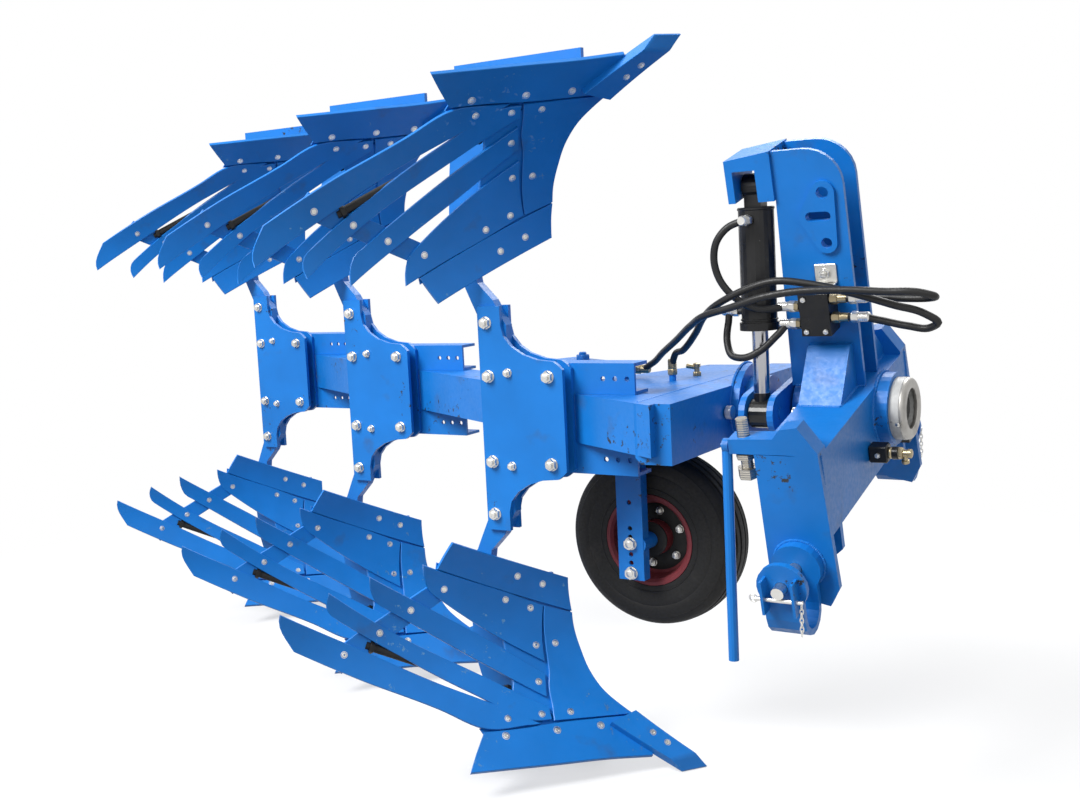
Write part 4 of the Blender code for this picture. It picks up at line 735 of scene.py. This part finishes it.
def clamp_bolts():
    """Hexagon bolts through the clamp plates, heads on the near side and nuts on the far side."""
    parts = []
    for x, z, size in CLAMP_BOLTS:
        for sign in (-1, 1):
            parts += bolt((x, CLAMP_FACES[0], sign * z), (0, -1, 0), size, thread=0.006)
            if z > CLAMP_FAR:
                parts += bolt((x, CLAMP_FACES[1], sign * z), (0, 1, 0), size, thread=0.008)
    return parts


def build_bolts():
    """The bolts of the boards and of the clamp plates at every station."""
    for side, number, here in every_board(board_bolts()):
        make(f"board_bolts_{side}_{number}", here, "zinc", "plough_frame")
    for i in range(STATIONS):
        here = [moved(p, STEP * i) for p in clamp_bolts()]
        make(f"clamp_bolts_{i + 1}", here, "zinc", "plough_frame")


def build_wheel():
    """Tyre with ribs and sidewall rings, black hub disc, wheel nuts and the leg's bolts."""
    y = np.array([0.0, 1.0, 0.0])
    profile = [*TYRE, *((r, -z) for r, z in TYRE[-2::-1])]
    tyre = turned(WHEEL, y, profile, 120, ring=True)
    make("tyre_ribbed", [tyre], "tyre", "wheel", 28, replaces=("wheel_tyre",))
    plate = ((0.046, -0.0164), (0.046, -0.0176), (0.086, -0.0176), (0.088, -0.0164))
    collar = ((0.0205, -0.0453), (0.040, -0.0453), (0.0445, -0.0490), (0.0445, -0.0530), (0.0300, -0.0560),
              (0.0205, -0.0560))
    disc = [turned(WHEEL, y, plate, 64, ring=True), turned(WHEEL, y, collar, 48, ring=True)]
    make("hub_disc", disc, "dull_black", "wheel")
    nuts = []
    for i in range(6):
        a = math.radians(20 + 60 * i)
        at = WHEEL + np.array([0.070 * math.cos(a), -0.0177, 0.070 * math.sin(a)])
        nuts += bolt(at, -y, NUT, thread=0.004)
    make("wheel_nuts", nuts, "zinc", "wheel")
    leg = [part for at in LEG_BOLTS for part in bolt(at, -y, 0.0085)]
    make("leg_bolts", leg, "zinc", "plough_frame")


def barrel_frame():
    """Place and turn of the cylinder's barrel in the level frame."""
    turn = Matrix.Rotation(HEAD_LEAN, 4, "X")
    return turn @ Matrix.Translation((CYLINDER_X, 0.0, PIVOT_Z)) @ Matrix.Rotation(SWING, 4, "X")


def leaving(port, way, lead=0.013):
    """A hose's first two points: just off its port and the lead further."""
    port, way = np.asarray(port, float), np.asarray(way, float)
    return [port + 0.0003 * way, port + lead * way]


def hose_routes():
    """Each hose's route, its two fitting directions and the bodies at its ends."""
    m = np.array(barrel_frame())
    turn = m[:3, :3]
    place = m[:3, 3]
    mouth = -BARREL - 0.015
    top = leaving(place + turn @ (0.0, mouth, -0.078), turn @ (0, -1, 0))
    low = leaving(place + turn @ (mouth, 0.0, -0.290), turn @ (-1, 0, 0))
    back = head((-1, 0, 0))
    rear = [leaving(head((VALVE[0] - 0.018, VALVE_ROW, z)), back) for z in REAR_PORTS]
    front = [leaving(head((VALVE[1] + 0.052, VALVE_ROW, z)), -back) for z in FRONT_PORTS]
    flat = leaving(PORT_FLAT, (1, 0, 0))
    tall = leaving(PORT_TALL, (0, 0, 1))
    outward = [*front[0], *head(HOSE_OUT), *HOSE_OUT_END, *flat[::-1]]
    inward = [*front[1], *head(HOSE_BACK), *HOSE_BACK_END, *tall[::-1]]
    return {
        "hose_barrel_top": ([*top, *head(HOSE_TOP), *rear[0][::-1]], "cylinder", "headstock"),
        "hose_barrel_low": ([*rear[1], *head(HOSE_LOW), *low[::-1]], "headstock", "cylinder"),
        "hose_frame_out": (outward, "headstock", "plough_frame"),
        "hose_frame_back": (inward, "headstock", "plough_frame"),
    }


def ferrule(at, way, length=0.034):
    """A crimped sleeve over the hose's end, with its hexagon at the port side."""
    ridges = []
    for i in range(5):
        z = 0.010 + i * (length - 0.012) / 5
        ridges += [(0.0112, z), (0.0112, z + 0.0026), (0.0104, z + 0.0034), (0.0104, z + 0.0040)]
    return [hexagon(np.asarray(at) - 0.006 * np.asarray(way), way, 0.023, 0.015),
            turned(at, way, ((0.0098, 0.008), *ridges, (0.0092, length)), 28)]


def build_hoses():
    """The four hoses, each a tube between the bodies at its ends, and their ferrules."""
    collars = {}
    for name, (route, first, last) in hose_routes().items():
        tube = swept(np.array(resample(route, 150)), HOSE_RADIUS, 20)
        piece = make(f"{name}_tube", [tube], "hose", replaces=(name,))
        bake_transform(piece)
        for body, at, towards in ((first, route[0], route[1]), (last, route[-1], route[-2])):
            collars.setdefault(body, []).extend(ferrule(at, unit(np.asarray(towards) - np.asarray(at))))
    for body, parts in collars.items():
        make(f"ferrules_{body}", parts, "brass" if body == "plough_frame" else "zinc", body)


def torus(origin, direction, radius, thick, count=28):
    """A ring of round section about the direction."""
    return swept(circle_points(origin, direction, radius, count)[:-1], thick, 10, True)


def chain(start, count=7):
    """A hanging chain of oval links, each turned against the last."""
    parts = []
    x, y, up = np.eye(3)
    for i in range(count):
        centre = np.asarray(start) - 0.0095 * (i + 0.5) * up
        parts.append(swept(centre + circle(0.0036 * (x if i % 2 else y), 0.0066 * up, 20), 0.0013, 8, True))
    return parts


def build_headstock():
    """Zinc bracket, valve bolts, lock pins with chains, cap bolts and the coupler's fittings."""
    x, y, z = head(np.eye(3))
    zinc = [block(head((-0.147, -0.0546, 0.352)), (x, z, y), (0.025, 0.022, 0.0022), 0.0015),
            block(head((-0.147, -0.0640, 0.3285)), (x, y, z), (0.025, 0.012, 0.0022), 0.0015)]
    zinc += bolt(head((-0.147, -0.0568, 0.352)), -y, 0.0065, thread=0.008)
    for z_at, x_at in ((0.232, -0.185), (0.309, -0.185), (0.232, -0.141)):
        zinc += bolt(head((x_at, -0.1123, z_at)), -y, 0.0035, washer=False)
    for side, outer in LINK_PINS:
        row = side * (outer + 0.018)
        pin = [head((px, row, LINK_PIN_Z)) for px in np.linspace(-0.190, -0.085, 6)]
        zinc.append(swept(pin, LOCK_PIN, 20))
        zinc.append(torus(head((-0.192, row, LINK_PIN_Z)), y, 0.0085, 0.0018))
        zinc += chain(head((-0.088, row, -0.204)))
    side = unit(np.array([0.0, -0.92, -0.40]))
    dome = ((0.005, 0), (0.005, 0.0015), (0.003, 0.0025))
    zinc.append(turned((-0.016, 0, 0) + 0.0725 * side, side, dome, 20))
    make("headstock_bright", zinc, "zinc", "headstock")
    brass = []
    for z_at in FRONT_PORTS:
        port = head((VALVE[1] + 0.003, VALVE_ROW, z_at))
        sleeve = head((VALVE[1] + 0.019, VALVE_ROW, z_at))
        brass.append(hexagon(port, x, 0.023, 0.016))
        brass.append(turned(sleeve, x, ((0.0098, 0), (0.0105, 0.004), (0.0098, 0.020)), 24))
    for z_at in REAR_PORTS:
        brass.append(hexagon(head((VALVE[0] - 0.003, VALVE_ROW, z_at)), -x, 0.022, 0.012))
    axis = head(COUPLING)
    nose = ((0.0085, 0), (0.0085, 0.010), (0.0105, 0.011), (0.0105, 0.018), (0.007, 0.020))
    branch = ((0.006, 0), (0.006, 0.016), (0.0085, 0.017), (0.0085, 0.024))
    rim = ((0.0125, 0), (0.0135, 0.002), (0.0135, 0.006), (0.0125, 0.008))
    brass += [turned(axis - 0.0225 * x, x, rim, 32),
              hexagon(axis - 0.0010 * x, x, 0.024, 0.010),
              turned(axis + 0.0090 * x, x, nose, 28),
              turned(axis + 0.0120 * x, -z, branch, 24)]
    grip = ((0.0125, 0), (0.0145, 0.001), (0.0145, 0.013), (0.0125, 0.014))
    black = [block(axis - 0.0435 * x, (x, y, z), (0.0210, 0.0170, 0.0200), 0.003),
             turned(axis - 0.0150 * x, x, grip, 32)]
    make("coupling", black, "black_steel", "headstock")
    zinc_screw = bolt(axis - 0.0435 * x - 0.0170 * y, -y, 0.0035, washer=False)
    make("coupling_screw", zinc_screw, "zinc", "headstock")
    make("headstock_brass", brass, "brass", "headstock")


def build_cap():
    """The spindle cap's ring, its rounded lip, and the well with the spindle's nut, coloured near-black as
    painted shade in the recess.
    """
    axis = ((0, 0, 0), (1, 0, 0))
    ring = [(0.0735, -0.0345), (0.0735, -0.0128), (0.0725, -0.0118), (0.0490, -0.0118), (0.0490, -0.0345)]
    make("cap_ring", [turned(*axis, ring, 72, True)], "cap_paint", "headstock",
         replaces=("spindle_cap",))
    a = np.linspace(0, math.pi / 2, 7)
    outer = [(0.0630 + 0.0095 * math.cos(t), -0.0095 + 0.0095 * math.sin(t)) for t in a]
    inner = [(0.0520 - 0.0050 * math.sin(t), -0.0050 + 0.0050 * math.cos(t)) for t in a]
    lip = [(0.0475, -0.0115), (0.0725, -0.0115), *outer, *inner]
    make("cap_lip", [turned(*axis, lip, 72, True)], "zinc_dull", "headstock")
    # Painted shade: the well's floor and the spindle's nut are dull black so that the cap's recess looks
    # dark.
    well = ((0.0470, -0.0345), (0.0470, -0.0300), (0.0005, -0.0300), (0.0005, -0.0345))
    nut = hexagon((-0.030, 0, 0), (1, 0, 0), 0.062, 0.014)
    make("cap_well_painted_shade", [turned(*axis, well, 48, True), nut], "dull_black", "headstock")


def build_welds():
    """Weld beads where the headstock's and the frame's plates meet."""
    parts = []
    x, y = head(np.eye(3))[:2]
    for px, radius in ((ARM_FRONT, 0.0862), (ARM_REAR, 0.0752)):
        parts.append(weld(circle_points(head((px, 0, 0)), x, radius), 0.004, True))
    for side, half in ARM_ENDS:
        edge = side * (half - 0.016)
        parts.append(weld(head(((ARM_REAR, edge, 0.0755), (ARM_FRONT, edge, 0.0755)))))
        parts.append(weld(head(((ARM_FRONT, edge, 0.072), (ARM_FRONT, edge, -0.121)))))
        row = side * (half + 0.0005)
        parts.append(weld(circle_points(head((-0.135, row, -0.180)), y, 0.0560), 0.0035, True))
        foot, mast = side * 0.178, side * 0.0525
        for path in (((-0.203, side * 0.054, 0.0750), (-0.203, foot, 0.0750)),
                     ((-0.105, side * 0.054, 0.0750), (-0.105, foot, 0.0750)),
                     ((-0.203, foot, 0.0750), (-0.105, foot, 0.0750)),
                     ((-0.250, mast, 0.0765), (ARM_REAR, mast, 0.0765)),
                     ((-0.104, mast, 0.0765), (-0.087, mast, 0.0765))):
            parts.append(weld(head(path)))
    make("headstock_welds", parts, "blue_frame", "headstock")
    parts = [weld(((-0.492, -0.420, z_at), (-0.492, 0.380, z_at))) for z_at in (0.0585, -0.0585)]
    parts.append(weld(circle_points((-0.4020, 0, 0), (1, 0, 0), 0.1055), 0.0035, True))
    make("frame_welds", parts, "blue_frame", "plough_frame")


def build_frame_fittings():
    """The adjusting lug on the beam's far side, the crank pin's heads and the fittings on the top plate."""
    up = np.array([0.0, 0.0, 1.0])
    along = unit(STEP)
    across = np.array([along[1], -along[0], 0.0])
    foot = np.array([-0.930, -0.2272 - (0.47 / 0.80) * (-0.930 + 0.730), 0.0])
    centre = foot + 0.105 * across
    axes = (along, across, up)
    lug = [block(centre + 0.098 * up, axes, (0.130, 0.085, 0.010), 0.006),
           block(foot + 0.0745 * up, axes, (0.100, 0.050, 0.0135), 0.003)]
    for s in (-1, 1):
        end = foot + 0.101 * s * along
        lug.append(weld((end + 0.048 * across + 0.0615 * up, end - 0.048 * across + 0.0615 * up)))
    make("adjusting_lug", lug, "blue_frame", "plough_frame")
    seat = centre + 0.030 * across + 0.1082 * up
    nut = [turned(seat, up, ((0.022, 0), (0.024, 0.001), (0.022, 0.003)), 40),
           hexagon(seat + 0.003 * up, up, 0.034, 0.014),
           turned(seat + 0.016 * up, up, ((0.010, 0), (0.010, 0.006), (0.008, 0.008)), 28)]
    make("adjusting_nut", nut, "blue_frame", "plough_frame")
    pin = []
    for sign, reach in ((-1, 0.016), (1, 0.007)):
        face = np.asarray(ROD_EYE) + sign * np.array([0.0752, 0, 0])
        pin.append(turned(face, (sign, 0, 0), ((0.0165, 0), (0.0165, reach - 0.002), (0.0145, reach)), 36))
    make("crank_pin_heads", pin, "zinc", "plough_frame")
    stem = ((0.007, 0), (0.007, 0.012), (0.0095, 0.013), (0.0095, 0.022), (0.006, 0.024))
    elbow = ((0.006, 0), (0.006, 0.026), (0.004, 0.028))
    brass = [hexagon((-0.584, 0.114, 0.0585), up, 0.020, 0.010),
             turned((-0.584, 0.114, 0.0680), up, stem, 24),
             turned((-0.584, 0.114, 0.0800), (-0.8, -0.5, 0.2), elbow, 20)]
    make("frame_brass", brass, "brass", "plough_frame")


def build_cylinder():
    """Rings on the barrel's cap and gland, and a wiper seal."""
    m = np.array(barrel_frame())
    turn, place = m[:3, :3], m[:3, 3]
    up = turn @ (0, 0, 1.0)
    rings = []
    for drop, sides, profile in (
            (0.0570, 64, ((0.0405, 0.0), (0.0425, 0.002), (0.0425, 0.006), (0.0405, 0.008))),
            (0.3130, 64, ((0.0405, 0.0), (0.0430, 0.001), (0.0430, 0.004), (0.0405, 0.005))),
            (0.3365, 48, ((0.0200, 0.0), (0.0300, 0.0), (0.0320, 0.0022), (0.0200, 0.0022)))):
        rings.append(turned(place - drop * up, up, profile, sides, True))
    make("cylinder_rings", rings, "black_steel", "cylinder")


# Stage


def build_stage(settings):
    """Camera at the photograph's viewing angle, pale floor and soft lights."""
    scene = bpy.context.scene
    f = np.array([-math.sin(YAW) * math.cos(PITCH), math.cos(YAW) * math.cos(PITCH), math.sin(PITCH)])
    right = np.array([math.cos(YAW), math.sin(YAW), 0.0])
    up = np.cross(right, f)
    c, s = math.cos(ROLL), math.sin(ROLL)
    columns = (c * right + s * up, -s * right + c * up, -f)
    matrix = Matrix([[*row, place] for row, place in zip(np.array(columns).T, EYE)] + [[0, 0, 0, 1]])
    data = bpy.data.cameras.new("camera")
    camera = bpy.data.objects.new("camera", data)
    scene.collection.objects.link(camera)
    camera.matrix_world = matrix
    data.sensor_width = SENSOR
    data.lens = FOCAL_PX / PHOTO[0] * SENSOR
    data.shift_x = (PHOTO[0] / 2 - CENTRE_PX[0]) / PHOTO[0]
    data.shift_y = (CENTRE_PX[1] - PHOTO[1] / 2) / PHOTO[0]
    scene.camera = camera
    scene.view_settings.view_transform = "Standard"
    mesh = bpy.data.meshes.new("floor")
    r = settings.floor
    mesh.from_pydata([(-r, -r, FLOOR), (r, -r, FLOOR), (r, r, FLOOR), (-r, r, FLOOR)], [], [(0, 1, 2, 3)])
    floor = bpy.data.objects.new("floor", mesh)
    scene.collection.objects.link(floor)
    mesh.materials.append(pale_floor())
    world = bpy.data.worlds.new("studio")
    scene.world = world
    world.use_nodes = True
    pale_world(world.node_tree, settings.world)
    for name, at, share, size in LIGHTS:
        light = bpy.data.lights.new(name, "AREA")
        light.energy = settings.key * share
        light.size = size
        lamp = bpy.data.objects.new(name, light)
        scene.collection.objects.link(lamp)
        z = unit(np.array(at) - np.array(AIM))
        side = unit(np.cross([0, 0, 1.0], z))
        turn = np.array((side, np.cross(z, side), z)).T
        lamp.matrix_world = Matrix([[*row, p] for row, p in zip(turn, at)] + [[0, 0, 0, 1]])


def seen_rays(tree):
    """1 for camera, glossy and transmission rays."""
    path = add(tree, "ShaderNodeLightPath").outputs
    mirror = maths(tree, "MAXIMUM", path["Is Glossy Ray"], path["Is Transmission Ray"])
    return maths(tree, "MAXIMUM", path["Is Camera Ray"], mirror)


def pale_floor():
    """A pale floor that looks white to the camera and still takes the shadow."""
    made = bpy.data.materials.new("floor")
    made.use_nodes = True
    tree = made.node_tree
    out = tree.nodes["Material Output"]
    shader = tree.nodes["Principled BSDF"]
    shader.inputs["Roughness"].default_value = 0.9
    shader.inputs["Specular IOR Level"].default_value = 0.1
    glow = add(tree, "ShaderNodeEmission", {"Color": WHITE, "Strength": 1.0})
    rays = seen_rays(tree)
    tree.links.new(mix(tree, rays, (0.22, 0.22, 0.22), (0.86, 0.86, 0.86)), shader.inputs["Base Color"])
    from_middle = {0: place_of(tree), 1: (-1.3, 0.1, FLOOR)}
    away = add(tree, "ShaderNodeVectorMath", from_middle, operation="DISTANCE").outputs["Value"]
    fade = add(tree, "ShaderNodeMapRange", {"Value": away, "From Min": 1.2, "From Max": 3.2,
                                            "To Min": 0.55, "To Max": 1.0})
    part = maths(tree, "MULTIPLY", rays, fade.outputs["Result"])
    both = add(tree, "ShaderNodeMixShader", {0: part, 1: shader.outputs[0], 2: glow.outputs[0]})
    tree.links.new(both.outputs[0], out.inputs["Surface"])
    return made


def pale_world(tree, strength):
    """White to the camera and in reflections, a soft grey dome as light."""
    out = tree.nodes["World Output"]
    dome = tree.nodes["Background"]
    dome.inputs["Color"].default_value = (0.95, 0.97, 1.0, 1)
    dome.inputs["Strength"].default_value = strength
    white = add(tree, "ShaderNodeBackground", {"Color": WHITE, "Strength": 1.0})
    both = add(tree, "ShaderNodeMixShader", {0: seen_rays(tree), 1: dome.outputs[0], 2: white.outputs[0]})
    tree.links.new(both.outputs[0], out.inputs["Surface"])


# Add-on


class PloughStage(bpy.types.PropertyGroup):
    key: FloatProperty(name="Key light", description="Power of the key light", default=620.0, min=0.0,
                       unit="POWER")
    world: FloatProperty(name="Dome", description="Strength of the dome light", default=0.50, min=0.0)
    floor: FloatProperty(name="Floor reach", description="Half of the floor's side", default=30.0, min=1.0,
                         unit="LENGTH")


class PloughPaint(bpy.types.PropertyGroup):
    blue: FloatVectorProperty(name="Paint", description="Colour of the frame's paint", size=3,
                              subtype="COLOR", default=(0.006, 0.170, 0.560), min=0.0, max=1.0)
    wear: FloatProperty(name="Wear", description="How much of the paint is chipped", default=1.0, min=0.0,
                        max=2.0, subtype="FACTOR")


class PLOUGH_OT_stage(bpy.types.Operator):
    """Set up the camera, floor and lights"""

    bl_idname = "plough.stage"
    bl_label = "Stage"

    def execute(self, context):
        build_stage(context.scene.plough_stage)
        return {"FINISHED"}


class PLOUGH_OT_materials(bpy.types.Operator):
    """Make the finishes and dress the CAD nodes"""

    bl_idname = "plough.materials"
    bl_label = "Materials"

    def execute(self, context):
        build_materials(context.scene.plough_paint)
        dress_nodes()
        return {"FINISHED"}


class PLOUGH_OT_hoses(bpy.types.Operator):
    """Make the hydraulic hoses and their fittings"""

    bl_idname = "plough.hoses"
    bl_label = "Hoses"

    def execute(self, context):
        build_hoses()
        return {"FINISHED"}


class PLOUGH_OT_boards(bpy.types.Operator):
    """Make the slatted mouldboards and shares"""

    bl_idname = "plough.boards"
    bl_label = "Boards"

    def execute(self, context):
        build_boards()
        return {"FINISHED"}


class PLOUGH_OT_bolts(bpy.types.Operator):
    """Make the bolts of the boards and clamp plates"""

    bl_idname = "plough.bolts"
    bl_label = "Bolts"

    def execute(self, context):
        build_bolts()
        return {"FINISHED"}


class PLOUGH_OT_wheel(bpy.types.Operator):
    """Make the tyre, hub and wheel nuts"""

    bl_idname = "plough.wheel"
    bl_label = "Wheel"

    def execute(self, context):
        build_wheel()
        return {"FINISHED"}


class PLOUGH_OT_headstock(bpy.types.Operator):
    """Make the headstock's fittings and the spindle cap"""

    bl_idname = "plough.headstock"
    bl_label = "Headstock"

    def execute(self, context):
        build_headstock()
        build_cap()
        return {"FINISHED"}


class PLOUGH_OT_cylinder(bpy.types.Operator):
    """Make the turnover cylinder's rings"""

    bl_idname = "plough.cylinder"
    bl_label = "Cylinder"

    def execute(self, context):
        build_cylinder()
        return {"FINISHED"}


class PLOUGH_OT_frame_fittings(bpy.types.Operator):
    """Make the adjusting lug, pin heads and fittings on the frame"""

    bl_idname = "plough.frame_fittings"
    bl_label = "Frame fittings"

    def execute(self, context):
        build_frame_fittings()
        return {"FINISHED"}


class PLOUGH_OT_welds(bpy.types.Operator):
    """Make the weld beads"""

    bl_idname = "plough.welds"
    bl_label = "Welds"

    def execute(self, context):
        build_welds()
        return {"FINISHED"}


STEPS = (
    PLOUGH_OT_stage, PLOUGH_OT_materials, PLOUGH_OT_hoses, PLOUGH_OT_boards,
    PLOUGH_OT_bolts, PLOUGH_OT_wheel, PLOUGH_OT_headstock,
    PLOUGH_OT_cylinder, PLOUGH_OT_frame_fittings, PLOUGH_OT_welds,
)


class PLOUGH_PT_panel(bpy.types.Panel):
    """Settings and steps of the plough's dressing"""

    bl_label = "Plough"
    bl_space_type = "VIEW_3D"
    bl_region_type = "UI"
    bl_category = "Plough"

    def draw(self, context):
        layout = self.layout
        for settings in (context.scene.plough_stage, context.scene.plough_paint):
            for key in settings.__annotations__:
                layout.prop(settings, key)
        for step in STEPS:
            layout.operator(step.bl_idname)


CLASSES = (PloughStage, PloughPaint, *STEPS, PLOUGH_PT_panel)


def register():
    for item in CLASSES:
        bpy.utils.register_class(item)
    bpy.types.Scene.plough_stage = PointerProperty(type=PloughStage)
    bpy.types.Scene.plough_paint = PointerProperty(type=PloughPaint)


def unregister():
    del bpy.types.Scene.plough_stage
    del bpy.types.Scene.plough_paint
    for item in reversed(CLASSES):
        bpy.utils.unregister_class(item)


def main():
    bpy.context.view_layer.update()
    register()
    for step in STEPS:
        getattr(bpy.ops.plough, step.bl_idname.split(".")[1])()


if __name__ == "__main__":
    main()
